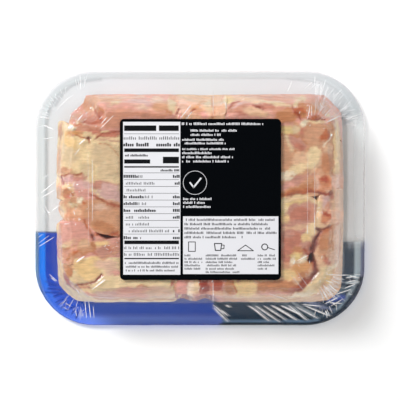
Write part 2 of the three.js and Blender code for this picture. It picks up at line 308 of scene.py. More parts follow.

# %% [markdown]
# The flesh is painted from above in two passes. First come patches of fat and muscle, and a few painted
# highlights: ellipses given by colour, middle, half length and half width in millimetres, and turn in
# degrees. Later patches lie over earlier ones.

# %% Patches of fat and muscle, and painted highlights
patches = [
    # Thigh at the top left
    ("pink", -48, 65, 28, 3, -1), ("tan", -72, 62, 6, 6, 35), ("tan", -72, 65, 5, 2.4, 20),
    ("brown", -73, 61, 4, 2.6, -20), ("tan", -60, 64.5, 10, 2.4, 0), ("khaki", -55, 61, 4.6, 2.2, 25),
    ("lilac", -39, 62, 8, 2.6, -4), ("pink", -47, 59, 12, 3, 0), ("shell", -36, 58.6, 6, 1.4, -12),
    ("shell", -28, 64.4, 4, 2.4, 0), ("salmon", -50, 55, 9, 3, 0), ("salmon", -39, 54.6, 7, 2.4, 0),
    ("tan", -25, 59.5, 5.5, 4, 10), ("salmon", -27, 54, 7, 2.6, 0), ("khaki", -18, 60.5, 2.8, 5.6, 14),
    ("tan", -17.5, 66, 2.6, 1.4, 0), ("brown", -20, 55.5, 2.4, 1.6, -30), ("salmon", -69, 49, 8, 7, 0),
    ("brown", -64, 56, 5.2, 3.2, -42), ("rose", -63, 54, 2.6, 2, -40), ("salmon", -57, 50, 8, 5, 0),
    ("rose", -67, 43.4, 3.4, 1.8, 0), ("rose", -57, 41.6, 9, 2.2, 4), ("tan", -81, 54, 5, 2, 50),
    ("ivory", -77, 48, 4, 2.4, 35), ("ochre", -76, 49, 2.6, 1, 40), ("salmon", -78, 45, 4, 3, 0),
    # The ivory patch at the end of this line is a painted highlight
    ("ochre", -81, 42.4, 6, 2.2, -4), ("ivory", -83, 46, 4, 2.4, 12),
    # Fat thigh below it
    ("butter", -89, 38, 3.6, 10, 0), ("brown", -91, 44, 2.2, 6, 0), ("tan", -91.5, 25, 2.2, 9, 0),
    ("khaki", -83, 31, 6, 9, 0), ("butter", -82, 36, 6, 3.4, -20), ("cream", -75, 36.5, 5, 2.8, 30),
    ("khaki", -60, 28, 9.5, 9, 0), ("khaki", -58, 20, 8, 6, 0), ("khaki", -58, 14.5, 8, 2.6, 8),
    ("khaki", -62, 34, 8, 1.8, 0), ("khaki", -72, 19, 4, 4, 0), ("tan", -86, 18.4, 6, 2, 0),
    ("lilac", -84, 13, 6.5, 2.4, 0), ("mauve", -77, 13.4, 4.4, 2.2, 10), ("lilac", -75, 8.4, 6, 4, 0),
    ("pink", -74, 3.4, 8, 3.4, -8), ("lilac", -60, 8, 9, 2.8, -4), ("mauve", -66, 9, 3.4, 3, -20),
    ("lilac", -56, 3, 9, 3.6, -8), ("lilac", -52, 1, 5, 2.6, -10), ("rose", -88.4, 11.6, 1.2, 3, 12),
    ("tan", -91, 5, 2.6, 5, 0), ("brown", -85, 3.6, 4, 3, -10), ("rose", -84, 2, 2.4, 1.4, 0),
    # Tan thigh
    ("tan", -84, -7, 5, 5, 0), ("khaki", -88, -8, 2, 4.6, 0), ("khaki", -81, -3.4, 3.6, 1.4, 0),
    ("peach", -79, -8, 3, 2.4, 0), ("ivory", -76.2, -0.8, 2.4, 1.8, 0), ("copper", -73.8, -2, 0.9, 1.3, 0),
    ("tan", -71, -8, 4, 6, 0), ("shell", -63, -5.4, 5, 2, -14), ("tan", -60, -11, 9, 4.4, -14),
    ("ochre", -53.6, -11, 2.6, 4, 0), ("tan", -54, -13, 4, 6, 0), ("brown", -61, -17.6, 8, 3.4, -14),
    ("salmon", -72, -14, 3, 3, 0),
    # Pink thigh that folds under it
    ("pink", -82, -20, 9, 7, 0), ("salmon", -90.6, -20, 2, 6, 0), ("butter", -92.6, -18, 1.2, 6, 0),
    ("pink", -84, -24.5, 7, 2.6, 10), ("peach", -84, -28, 5, 1.3, 24), ("cream", -86, -31, 5, 1.6, 0),
    ("salmon", -85, -34.6, 6, 3.6, 10), ("tan", -73.4, -30, 5.6, 5, 10), ("peach", -74, -28.4, 4, 2.4, 20),
    ("copper", -79.4, -34, 2.6, 1.1, 35), ("tan", -81, -38, 5.4, 1.8, 42), ("brown", -84, -37, 4, 1.2, 42),
    ("mauve", -61, -26, 7, 1.2, 0), ("butter", -63.6, -28.8, 5.4, 2, 8), ("brown", -68, -29.4, 1.7, 3, 10),
    ("mauve", -61, -33.6, 6.4, 4.2, 10), ("rose", -57, -31, 2.8, 2.6, 0), ("salmon", -54, -29.6, 3, 3.4, 0),
    ("pink", -56, -27, 3.6, 1.2, -30), ("rose", -67, -34, 2, 1.2, 0),
    # Fat thigh at the bottom left
    ("tan", -84, -43.6, 6, 3, 20), ("butter", -90, -46, 1.8, 8, 0), ("brown", -84, -47, 2.4, 3.2, 0),
    ("copper", -86, -52, 2, 5, 15), ("butter", -72, -41.4, 9, 3.6, 8), ("butter", -71, -47.4, 8, 4.6, 5),
    ("butter", -68, -39, 4, 2, 25), ("shell", -60, -41.6, 8, 3, 0), ("shell", -56, -45.6, 5, 3, 0),
    ("pink", -53.6, -47, 3, 2, 0), ("cream", -62, -55, 7, 3, 25), ("cream", -56, -55, 8, 2.6, 4),
    ("cream", -68, -58, 7, 1.8, 0), ("peach", -80, -57, 3.4, 3, -30), ("cream", -46, -53.6, 8, 2, 0),
    ("cream", -30, -54, 10, 2.4, 0), ("pink", -42, -57.8, 16, 2, 4), ("lilac", -58, -61.4, 12, 2.4, 0),
    ("pink", -42, -61.6, 14, 2.6, 0), ("shell", -26, -60, 9, 4, 0), ("pink", -70, -61.4, 5, 1.8, -16),
    ("rose", -17.6, -53.4, 1.4, 2.8, 0),
    # Thigh at the top middle
    ("shell", -12, 61, 2.2, 5, 0), ("shell", -9, 58, 3.4, 4, 0), ("peach", -2, 64, 4.6, 2.2, 0),
    ("tan", -1, 56, 3.6, 3, 0), ("pink", 3, 54, 3, 2.6, 0), ("khaki", 5.4, 60.4, 2.6, 5, 0),
    ("peach", 12, 60, 3.4, 7, 0), ("peach", 13.6, 58, 1.6, 5, 0),
    # Thigh at the top right
    ("shell", 40, 66, 26, 2, -1), ("yellow", 19, 64.6, 3.2, 3.2, 20), ("peach", 30, 64, 11, 1.7, -9),
    ("salmon", 48, 64.8, 12, 2.2, -2), ("khaki", 48, 61.4, 13, 1.5, -10), ("salmon", 24, 59, 7, 3.6, 20),
    ("lilac", 24, 60.4, 5, 1, 24), ("rose", 28, 55.6, 5, 2, 10), ("peach", 36, 55.6, 8.4, 2.8, -12),
    ("rose", 45, 59, 11, 1.6, -9), ("maroon", 37.4, 59.2, 3, 1, -14), ("salmon", 52, 56.4, 7, 2.4, -10),
    ("brown", 55, 52.6, 7, 4, -8), ("brown", 56, 56.6, 4, 2, 0), ("khaki", 64.8, 63.4, 4.4, 3.2, 35),
    ("khaki", 61.6, 60.8, 2.4, 1.4, 10), ("brown", 66.4, 59.6, 3, 4, 30), ("copper", 63.4, 56, 3.6, 3, 10),
    ("brown", 66, 53.6, 2.6, 2, 0), ("salmon", 74, 61, 6.6, 4.4, -15), ("tan", 73, 57.6, 3, 3, 0),
    ("brown", 80, 60.6, 4, 3, -30), ("brown", 82.6, 59.6, 3, 2.4, 45), ("brown", 80.6, 56, 3.6, 1.8, 20),
    # The cream patch at the end of this line is a painted highlight
    ("salmon", 76.4, 52.6, 1.8, 1.2, 0), ("copper", 73.6, 52.4, 2.4, 1.2, 0), ("cream", 82, 54, 2, 1, 20),
    # Thigh at the right, upper half
    ("cream", 74, 49.8, 7, 1.1, 0), ("ivory", 66, 48, 2.6, 1.7, 22), ("tan", 61.6, 48, 2.4, 1.4, -20),
    ("yellow", 55.4, 44.4, 6, 2.6, -3), ("khaki", 61.4, 44.6, 3, 2.4, 0), ("rose", 66, 43, 2.6, 4, 20),
    ("tan", 73, 43, 7, 5.8, 0), ("tan", 78, 47, 3, 2, 0), ("mauve", 61.6, 36.4, 6.6, 3.8, -36),
    ("rose", 63, 33.6, 4, 2, -30), ("tan", 72, 37, 6, 3, 0), ("tan", 53, 34.4, 2.4, 4.4, 0),
    ("tan", 57, 25.4, 6, 5, 0), ("tan", 60, 29, 4, 2, 30), ("copper", 79.6, 40.4, 4.2, 2.7, 50),
    ("butter", 88, 38, 3.2, 16, 0), ("tan", 84.6, 46.6, 2.4, 4, 0), ("copper", 85.8, 49.6, 1.3, 1, 0),
    ("peach", 82, 32, 3, 3, 0), ("peach", 65, 25, 6.6, 6, 45), ("cream", 72.4, 26, 4.4, 8, -14),
    ("cream", 62, 19, 7, 3.2, 26), ("ivory", 55.6, 15, 5.4, 3.4, 10), ("brown", 81, 22.4, 4, 6.4, 0),
    ("butter", 87.6, 22, 3, 6, 0), ("mauve", 62, 12, 11, 2.6, 21), ("pink", 56, 8.6, 5.4, 1.8, 18),
    ("tan", 70, 12, 3.2, 3, 0), ("brown", 65, 7.4, 12, 1.4, 18), ("brown", 62, 5, 10, 1.2, 12),
    ("shell", 75, 11.4, 1.5, 5, 0), ("brown", 80, 11.4, 3.9, 4.1, 0), ("rust", 79.4, 13, 2.6, 2, 0),
    ("shell", 86.8, 11.6, 2.8, 5, 0), ("peach", 88, 2, 3.6, 5, 0),
    # Thigh at the right, lower half
    ("cream", 53, -4, 3, 6, 0), ("yellow", 52.4, -9, 1.6, 4, 0), ("butter", 54.6, -12.6, 3, 2.4, 20),
    ("rose", 64.6, -10.4, 7, 6, 0), ("mauve", 64, -15, 7, 2, 0), ("salmon", 71.6, -10, 1.6, 6, 0),
    ("lilac", 80, -1.4, 2.2, 4, -10), ("rose", 83.6, 2.4, 1.8, 1.8, 0), ("salmon", 82.4, -4, 1.4, 3, -15),
    ("rust", 80, -11, 3.9, 3.9, 0), ("brown", 80, -12.6, 3.2, 1.8, 0), ("peach", 86.8, -10.6, 2.6, 5, 0),
    ("peach", 62, -18, 10, 1.4, 8), ("rose", 58.6, -25, 6.6, 5.6, 0), ("mauve", 57, -22, 4, 2, 10),
    ("rose", 56, -35, 5, 6.4, 0), ("cream", 70.6, -20.6, 3.2, 5.8, -16), ("butter", 67.4, -24.6, 3.2, 2.8, 0),
    ("brown", 63, -33, 3.8, 3.6, 0), ("yellow", 61, -36.2, 4.4, 1.6, 0), ("mauve", 68.6, -29, 2, 2.4, 0),
    ("ivory", 66.4, -39.4, 4.6, 2.2, 18), ("ivory", 59.4, -39.4, 1.7, 3, 0), ("tan", 54, -43, 4, 3, 0),
    ("ochre", 64, -44, 7.6, 3.4, 22), ("butter", 56.6, -48, 4.6, 3.8, 0), ("brown", 66, -48, 4, 2.2, 30),
    # Thigh round the bottom right corner
    ("tan", 80, -22, 3.6, 4, 0), ("brown", 79.6, -28.6, 4.4, 4.4, 0), ("shell", 88, -26, 3, 10, 0),
    ("tan", 79.4, -35.4, 5.6, 3.6, 0), ("rose", 81.8, -39.6, 3, 2.4, 20), ("peach", 75, -38, 1.9, 5, 22),
    ("khaki", 79.8, -36.4, 1.2, 1.2, 0), ("shell", 87, -37, 4, 5, 0), ("cream", 80, -46.4, 5, 4, 0),
    ("butter", 82, -52, 2.6, 3.4, 20), ("tan", 77.8, -54, 1.8, 1.6, 0), ("cream", 73, -55.6, 8, 4.4, 45),
    # The first patch on this line is a painted highlight
    ("ivory", 85, -43.6, 4.4, 1.2, 35), ("ivory", 63.6, -61.8, 9, 1.8, 17), ("rose", 54, -60, 10, 1.7, 10),
    ("brown", 54.6, -55, 9, 3.6, -6), ("rose", 60, -57.6, 5, 1.8, 20), ("maroon", 66, -53, 3.2, 1.9, 35),
    ("rust", 62, -56.6, 4, 1.6, 40), ("butter", 58, -64.6, 12, 1.4, 2), ("brown", 44, -55.6, 8, 4, 0),
    ("pink", 44, -60.4, 11, 1.6, 0), ("peach", 34, -63, 20, 2, 0),
    # Thigh at the bottom middle
    ("pink", -12, -56, 3.4, 6, 0), ("ivory", -5.8, -59, 2.2, 8, -4), ("cream", -2.6, -56, 2.4, 5, -10),
    ("maroon", 3, -56, 2.8, 4.4, -6), ("rose", 7, -56, 1.1, 6, 0), ("rust", 11.4, -55, 3.2, 4.6, 0),
    ("peach", 12, -60.4, 5.4, 1.8, 0), ("brown", 18.6, -56.4, 2.9, 6, 6), ("yellow", 23.6, -57, 1.8, 6.4, 14),
    ("butter", 30.4, -57, 6.4, 6, 0),
]
print(len(patches), "patches of colour")

# %% [markdown]
# Then come strokes, which are lines of points in millimetres with a colour, a width and a depth. Where a
# stroke has a depth, the flesh sinks along it, and it is a fold; most folds are painted dark as shade. The
# others are seams of fat and edges of muscle, wide bands of painted shade beside the deepest folds, and a
# few painted highlights.

# %% Seams and folds
strokes = [
    # Seams and edges at the left, with folds painted dark as shade
    ("shell", 0.8, 0.0, [(-66, 66.2), (-50, 65.8), (-36, 66.6)]),
    # A painted highlight
    ("ivory", 0.5, 0.0, [(-72, 60), (-69, 58), (-67, 60)]),
    ("rust", 0.7, 0.4, [(-68, 59), (-66, 54), (-61, 49.6)]),
    ("copper", 0.6, 0.4, [(-81, 48), (-76, 47.4), (-73.4, 51)]),
    # Painted shade in a crease and a dark hole
    ("rust", 0.6, 0.6, [(-79, 41), (-75, 39.8), (-71, 39.6)]),
    ("blood", 1.0, 1.8, [(-72, 39.6), (-70.4, 39)]),
    ("rust", 0.7, 1.0, [(-70.6, 39), (-70, 36.4)]),
    ("maroon", 0.5, 0.3, [(-66.6, 38.4), (-62, 42.6), (-51, 43)]),
    ("mauve", 0.5, 0.0, [(-66, 38), (-58, 38), (-51, 37)]),
    ("brown", 0.4, 0.2, [(-64, 36), (-58, 35), (-52, 28)]),
    ("rust", 0.7, 0.8, [(-89, 15.6), (-82, 15.8), (-75.6, 16.3)]),
    ("maroon", 0.6, 0.5, [(-88.8, 15), (-87, 9.4)]),
    ("mauve", 0.6, 0.3, [(-81, 15), (-78, 12), (-72, 15)]),
    ("rust", 1.0, 1.2, [(-69, 3), (-61, -1.4), (-51, -5)]),
    ("mauve", 0.7, 0.4, [(-69, 10), (-62, 11), (-51, 9.6)]),
    ("copper", 0.9, 1.0, [(-74, -13.6), (-71.4, -19), (-68.6, -24)]),
    ("blood", 1.0, 1.4, [(-69, -23), (-67.6, -25)]),
    # Painted shadow under the tan thigh, along a fold
    ("copper", 0.9, 0.8, [(-67, -22.6), (-60, -23.4), (-52, -20.6)]),
    ("rust", 1.0, 0.6, [(-55, -21.6), (-51.6, -23.4)]),
    ("brown", 0.5, 0.4, [(-78, -33), (-74, -35), (-69, -33), (-67, -30)]),
    ("brown", 0.6, 0.5, [(-91, -31.4), (-84, -31.8), (-80, -29)]),
    ("tan", 0.6, 0.5, [(-66, -36), (-62, -38), (-56, -35), (-51, -33)]),
    ("mauve", 0.5, 0.3, [(-61, -31), (-57, -36)]),
    # Painted shade in a slit
    ("maroon", 1.1, 1.6, [(-80, -55.4), (-73, -54.4), (-67, -52.4), (-62.6, -48.4)]),
    ("maroon", 0.9, 0.8, [(-66, -51), (-62.8, -48)]),
    ("rose", 0.8, 0.0, [(-77, -56.8), (-71, -56.6)]),
    ("copper", 0.5, 0.0, [(-88, -48), (-86, -54), (-82, -59)]),
    ("brown", 0.7, 0.3, [(-68, -64.4), (-50, -64.8), (-17, -65.4)]),
    ("brown", 0.5, 0.2, [(-40, -55.6), (-34, -55.2)]),
    ("tan", 0.6, 0.6, [(-16, -52), (-15.4, -58)]),
    # Top middle, with folds painted dark as shade
    ("peach", 0.5, 0.8, [(-14.8, 66), (-14.6, 52)]),
    ("maroon", 0.8, 0.8, [(-14.6, 54.6), (-13, 58)]),
    ("ochre", 1.0, 0.3, [(-5, 57), (-2, 60.4), (3, 63.6)]),
    ("maroon", 0.8, 0.8, [(-5, 55.6), (-3.4, 57.4)]),
    ("brown", 0.8, 0.8, [(8.2, 66), (8.4, 52)]),
    # A painted highlight
    ("ivory", 0.5, 0.0, [(16.2, 67), (16.4, 58)]),
    # Right, with folds painted dark as shade
    ("rust", 0.6, 0.4, [(17.6, 57), (20, 61), (25, 63)]),
    ("mauve", 0.6, 0.2, [(26, 67), (44, 66.6), (60, 66)]),
    ("rust", 0.6, 0.5, [(59, 59.6), (60, 56), (62, 54.6)]),
    ("maroon", 0.8, 0.7, [(62.6, 53.8), (64.4, 51.4)]),
    ("rust", 0.5, 0.4, [(65, 58.6), (62, 56.6)]),
    ("maroon", 0.6, 0.7, [(69, 50.9), (75, 50.9), (80, 51)]),
    ("rust", 0.4, 0.2, [(77, 57), (81, 62)]),
    ("rose", 0.4, 0.2, [(79, 56.6), (83, 61)]),
    # A painted highlight
    ("ivory", 0.5, 0.0, [(83.4, 42), (83, 38.6), (79, 34.4)]),
    ("brown", 0.5, 0.3, [(51.6, 41.4), (58, 41.2), (64, 40), (68.4, 34.6)]),
    ("khaki", 1.2, 0.0, [(54.6, 40), (57, 35), (59, 31)]),
    ("brown", 0.6, 0.3, [(60.6, 31), (61.6, 29.6)]),
    ("peach", 0.7, 0.5, [(77, 29), (76.6, 24), (70, 16.6)]),
    ("brown", 0.6, 0.3, [(57.8, 15), (59, 14.8)]),
    ("brown", 0.5, 0.2, [(85.2, 50), (85.2, 16)]),
    ("ochre", 0.5, 0.2, [(91.2, 44), (91.2, 16)]),
    # A wide dark band along the fold below, painted shade
    ("copper", 1.5, 0.0, [(50, 1.6), (57, 4.2), (70, 6), (80, 5)]),
    ("maroon", 0.9, 1.2, [(56, 3), (70, 4.8), (78, 3.6), (85, 4.2)]),
    ("maroon", 0.8, 0.8, [(76, 3.4), (82, 3.4)]),
    ("cream", 1.9, 0.0, [(52.4, -5), (55, -1.4), (60, 1), (68, 1.6), (73.6, -0.6)]),
    ("yellow", 0.9, 0.0, [(55, -4), (60, -1.4), (68, -1.2)]),
    ("cream", 1.5, 0.0, [(74, -0.6), (76.6, -4), (75.6, -10), (75.4, -17)]),
    # Wide bands of painted shade beside the deep folds at the lower right
    ("copper", 1.8, 0.0, [(84, -18.2), (78, -20.6), (75, -25), (71.4, -31), (70.4, -38), (74, -44.6)]),
    ("rust", 1.9, 0.0, [(75.4, -22), (73, -27), (70.8, -32.6), (71, -38.6), (74.6, -45)]),
    ("rust", 1.5, 0.0, [(74.4, -46.4), (69.6, -51), (64, -57)]),
    # Painted shade in the deep crevices at the lower right
    ("blood", 0.8, 0.8, [(75, -18.8), (79, -19), (84, -16.8)]),
    ("brown", 0.5, 0.3, [(84, -16.8), (90, -15.6)]),
    ("blood", 1.0, 2.4, [(74.8, -19), (76.8, -20.4), (74.6, -24.6)]),
    ("blood", 1.7, 3.6, [(73.6, -26), (71.6, -32), (72, -38)]),
    ("rust", 1.1, 1.8, [(66.4, -31.4), (68.4, -34.4), (71, -37)]),
    ("blood", 1.1, 2.6, [(72, -38), (74.4, -43.6)]),
    ("blood", 1.7, 3.0, [(75, -46), (71, -50)]),
    ("maroon", 0.9, 1.0, [(70, -51.4), (66, -56.4), (62, -59)]),
    ("brown", 0.6, 0.3, [(84.8, -20), (84.8, -32)]),
    ("rose", 0.5, 0.2, [(90.8, -18), (90.8, -36)]),
    ("rust", 0.9, 0.4, [(79.4, -35.6), (80.6, -37.4)]),
    # A painted highlight
    ("ivory", 0.6, 0.0, [(64.4, -39.6), (68.2, -36)]),
    ("tan", 0.7, 0.2, [(52, -64.8), (66, -64.2)]),
    ("ochre", 0.6, 0.3, [(16, -65.4), (50, -65.4)]),
    ("rust", 0.6, 0.6, [(0.6, -52), (-0.2, -60)]),
    ("copper", 0.6, 0.4, [(21, -52), (23, -60)]),
    ("brown", 0.5, 0.4, [(37, -52), (37.6, -60)]),
]
print(len(strokes), "strokes,", sum(depth > 0.5 for _, _, depth, _ in strokes), "of them folds")

# %% [markdown]
# Ragged edges and mottling need a smooth random field. A sum of sine waves in random directions is quick to
# work out for hundreds of thousands of points at once, and a fixed seed gives the same flesh each time.

# %% Fields over points
def mottle(points, size, seed):
    """A smooth random value near -1 to 1 for each point, with swells about size millimetres across."""
    chance = np.random.default_rng(seed)
    waves = 7
    total = np.zeros(len(points))
    for _ in range(waves):
        heading = chance.normal(size=points.shape[1])
        heading *= 2 * math.pi / (size * np.linalg.norm(heading) * chance.uniform(0.7, 1.5))
        total += np.sin(points @ heading + chance.uniform(0, 2 * math.pi))
    return total / math.sqrt(waves)


def smooth_step(low, high, values):
    share = np.clip((values - low) / (high - low), 0, 1)
    return share * share * (3 - 2 * share)


def distance_to_line(plan, line):
    """How far each point lies from a line of corners, seen from above."""
    nearest = np.full(len(plan), np.inf)
    for start, end in zip(line[:-1], line[1:]):
        start, run = np.array(start), np.array(end) - np.array(start)
        share = np.clip((plan - start) @ run / (run @ run), 0, 1)
        nearest = np.minimum(nearest, np.linalg.norm(plan - start - share[:, None] * run, axis=1))
    return nearest


# %% Paint the flesh
def cover_of(patch, plan, ragged):
    """How much of each point a patch covers, from 0 to 1."""
    _, x, y, half_length, half_width, turn = patch
    angle = math.radians(turn)
    across = plan - np.array([x, y])
    along = across @ np.array([math.cos(angle), math.sin(angle)]) / half_length
    aside = across @ np.array([-math.sin(angle), math.cos(angle)]) / half_width
    soft = min(0.7, 1.0 / min(half_length, half_width))
    return 1 - smooth_step(1 - soft, 1 + soft, np.hypot(along, aside) + 0.3 * soft * ragged)


# Painted shade in the folds: the share of red, green and blue kept where it is deepest
fold_shade_tint = np.array((0.72, 0.4, 0.3))


def paint(points, name):
    """The colour of each point of a thigh, given in millimetres."""
    plan = points[:, :2]
    drift = np.column_stack([mottle(plan, 7, 13), mottle(plan, 7, 15)])
    fine_drift = np.column_stack([mottle(plan, 2.6, 14), mottle(plan, 2.6, 16)])
    drifted = plan + 0.5 * drift + 0.25 * fine_drift
    ragged = mottle(plan, 2.2, 12)
    colour = np.tile(palette[main_colour[name]], (len(points), 1))
    for patch in patches:
        cover = cover_of(patch, drifted, ragged)[:, None]
        colour = colour * (1 - cover) + palette[patch[0]] * cover
    for tone, width, _, line in strokes:
        cover = 0.9 * np.exp(-(distance_to_line(drifted, line) / width) ** 2)[:, None]
        colour = colour * (1 - cover) + palette[tone] * cover
    # Painted shade: down in the folds between thighs, away from the walls, the flesh is painted redder and
    # darker
    away = (1 - smooth_step(74, 83, np.abs(plan[:, 0]))) * (1 - smooth_step(48, 57, np.abs(plan[:, 1])))
    fold_shade = (1 - smooth_step(35.5, 38.8, points[:, 2])) * away
    return colour * (1 - fold_shade[:, None] * (1 - fold_shade_tint))


# %% [markdown]
# The frame's thighs are faceted and stand a millimetre apart. A copy is remeshed into small even faces and
# smoothed, which rounds the facets into flesh. It is then swollen a little, so that the thighs press on
# each other as they do in a packed tray, and pressed back inside the tray's walls.

# %% Copies and baking
def merged_copy(name, suffix, flatten):
    """A copy of a node's mesh as a new object, with loose triangles and, if asked, flat faces joined."""
    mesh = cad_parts[name].data.copy()
    joined = bmesh.new()
    joined.from_mesh(mesh)
    bmesh.ops.remove_doubles(joined, verts=joined.verts, dist=0.01 * MM)
    if flatten:
        bmesh.ops.dissolve_limit(joined, angle_limit=math.radians(0.5), verts=joined.verts,
                                 edges=joined.edges)
    joined.to_mesh(mesh)
    joined.free()
    mesh.materials.clear()
    return add_object(name + suffix, mesh)


def bake(piece):
    """Turns a piece and its modifiers into a plain mesh."""
    plain = bpy.data.meshes.new_from_object(piece.evaluated_get(bpy.context.evaluated_depsgraph_get()))
    piece.modifiers.clear()
    piece.data = plain
    return plain


def remeshed(piece, face_size, smoothing):
    """Gives a piece small even faces, which also joins any that ran into each other, and smooths it."""
    coarse = piece.data
    remesh = piece.modifiers.new("remesh", "REMESH")
    remesh.mode = "VOXEL"
    remesh.voxel_size = face_size
    piece.modifiers.new("smooth", "SMOOTH").iterations = smoothing
    fine = bake(piece)
    bpy.data.meshes.remove(coarse)
    fine.name = piece.name
    return fine


def read_vectors(items, key):
    flat = np.empty(len(items) * 3)
    items.foreach_get(key, flat)
    return flat.reshape(-1, 3)


def points_and_normals(mesh):
    """The points of a mesh, in millimetres, and its normals."""
    return read_vectors(mesh.vertices, "co") / MM, read_vectors(mesh.vertices, "normal")


# %% Shape a thigh
# All in millimetres: how far the flesh swells, how much further its upper part rises and between which
# heights, how far it sinks along a fold of depth 1, and the size of its faces
swelling = 3.0
extra_rise = 4.0
rise_between = (26, 36)
fold_depth = 0.45
flesh_face = 0.75


def swell(points, normals):
    """Pushes the flesh out against its neighbours, and its upper part up against the base."""
    pushed = points + swelling * normals
    pushed[:, 2] += extra_rise * smooth_step(*rise_between, points[:, 2])
    return pushed


def sink(points, normals):
    """Lowers the flesh along its folds and in shallow swells, and never raises it."""
    plan = points[:, :2]
    depth = np.clip(0.12 + 0.2 * mottle(points, 7, 21) + 0.1 * mottle(points, 2.6, 22), 0, None)
    for _, width, deepest, line in strokes:
        if deepest:
            depth = depth + fold_depth * deepest * np.exp(-(distance_to_line(plan, line) / width) ** 2)
    return points - normals * depth[:, None]


# Corners, and short stretches of the long sides, that the meat doesn't quite fill: middle, reach and how much
# room is left, in millimetres
loose_corners = [(-84, 64, 10, 11), (8, 72, 14, 3), (89, 65, 9, 2.2), (-88, -64, 10, 2), (-11, -69, 5, 9),
                 (3.5, -69, 5, 9)]
# Low down the meat stands up straighter than the walls do, so its whole outline is also kept inside an oblong
meat_low, meat_high = (-93.6, -67.4), (93.6, 68.4)
wall_room, far_room, near_room = 1.2, 2.4, 1.6
roof_room = 0.8
pull = 1.2


def press_inside(points, below_base):
    """Pulls points back inside the tray, with room to spare at the long walls and in the rounded corners."""
    room = (wall_thickness + wall_room + far_room * smooth_step(20, 45, points[:, 1])
            + near_room * smooth_step(20, 45, -points[:, 1]))
    for x, y, reach, spare in loose_corners:
        room += spare * np.exp(-np.sum((points[:, :2] - (x, y)) ** 2, axis=1) / reach ** 2)
    points = points.copy()
    points[:, 2] = np.minimum(points[:, 2], inside_base - below_base)
    climb = np.clip((points[:, 2] - wall_foot[3]) / (wall_head[3] - wall_foot[3]), 0, 1)
    roof = points[:, 2] + wall_thickness + roof_room
    chamfer = np.clip((roof - wall_head[3]) / (base_edge[3] - wall_head[3]), 0, 1)
    walls = np.where(roof[:, None] > wall_head[3], blend(wall_head, base_edge, chamfer),
                     blend(wall_foot, wall_head, climb))
    beyond = np.clip(outside(points[:, :2], walls) + room, 0, None)
    toward_middle = -points[:, :2] / np.linalg.norm(points[:, :2], axis=1)[:, None]
    points[:, :2] += toward_middle * (pull * beyond)[:, None]
    points[:, :2] = np.clip(points[:, :2], meat_low, meat_high)
    return points


def make_thigh(name, material):
    piece = merged_copy(name, "_flesh", False)
    mesh = remeshed(piece, flesh_face * MM, 3)
    points, normals = points_and_normals(mesh)
    mesh.vertices.foreach_set("co", (press_inside(swell(points, normals), 0.2) * MM).ravel())
    mesh = remeshed(piece, flesh_face * MM, 2)
    points, normals = points_and_normals(mesh)
    # Each thigh's flattened top lies a hair lower than the one before, so that no two lie in one plane
    below_base = 0.2 + 0.05 * thigh_names.index(name)
    points = sink(press_inside(points, below_base), normals)
    mesh.vertices.foreach_set("co", (points * MM).ravel())
    mesh.update()
    colour = mesh.color_attributes.new("flesh", "FLOAT_COLOR", "POINT")
    rgba = np.ones((len(points), 4))
    rgba[:, :3] = paint(points, name)
    colour.data.foreach_set("color", rgba.ravel())
    mesh.shade_smooth()
    mesh.materials.append(material)
    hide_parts(name)
    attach(piece, "root")
    return len(mesh.polygons)


# %% [markdown]
# ### The finish of wet flesh
# Light enters flesh and comes out a millimetre or two away, red first, which subsurface scattering gives.
# Muscle has fine parallel fibres, and the whole surface is wet, so a thin coat gives it small sharp glints.

# %% Wet raw flesh
def make_flesh():
    material, tree, surface = new_material("wet_raw_flesh")
    place = add_node(tree, "ShaderNodeTexCoord").outputs["Object"]
    painted = add_node(tree, "ShaderNodeAttribute", {"attribute_name": "flesh"}).outputs["Color"]
    turned = add_node(tree, "ShaderNodeMapping", {"Rotation": (0, 0, 0.5), "Scale": (140, 900, 400),
                                                  "Vector": place}).outputs[0]
    fibres, clouds = (
        add_node(tree, "ShaderNodeTexNoise", {"Scale": scale, "Detail": detail, "Vector": way}).outputs["Fac"]
        for scale, detail, way in ((1.0, 3, turned), (240.0, 5, place)))
    tone = add_math(tree, "MULTIPLY", add_scale(tree, fibres, 0.35, 0.7, 0.87, 1.09),
                    add_scale(tree, clouds, 0.3, 0.7, 0.89, 1.09))
    toned = add_node(tree, "ShaderNodeVectorMath", {"operation": "SCALE", 0: painted, "Scale": tone})
    relief = add_node(tree, "ShaderNodeBump", {"Strength": 0.4, "Distance": 0.0005, "Height": fibres})
    flesh = add_node(tree, "ShaderNodeBsdfPrincipled", {
        "Roughness": 0.38, "IOR": 1.4, "Subsurface Weight": 0.15, "Subsurface Radius": (1.0, 0.35, 0.2),
        "Subsurface Scale": 0.0015, "Coat Weight": 0.5, "Coat Roughness": 0.08,
        "Base Color": toned.outputs[0], "Normal": relief.outputs[0],
    })
    tree.links.new(flesh.outputs[0], surface)
    return material


flesh_material = make_flesh()
for thigh in thigh_names:
    print(thigh, make_thigh(thigh, flesh_material), "faces")


# %% [markdown]
# ## Clear tray
# The tray is pressed from clear plastic sheet. Plastic this thin is best made as a see-through surface with
# a mirror gloss on it, which grows with the fifth power towards grazing angles, and a trace of haze keeps
# it from vanishing. The gloss is worked out from the facing angle, because a Fresnel node would turn the
# back of each face into a mirror and keep the light out of the pack.

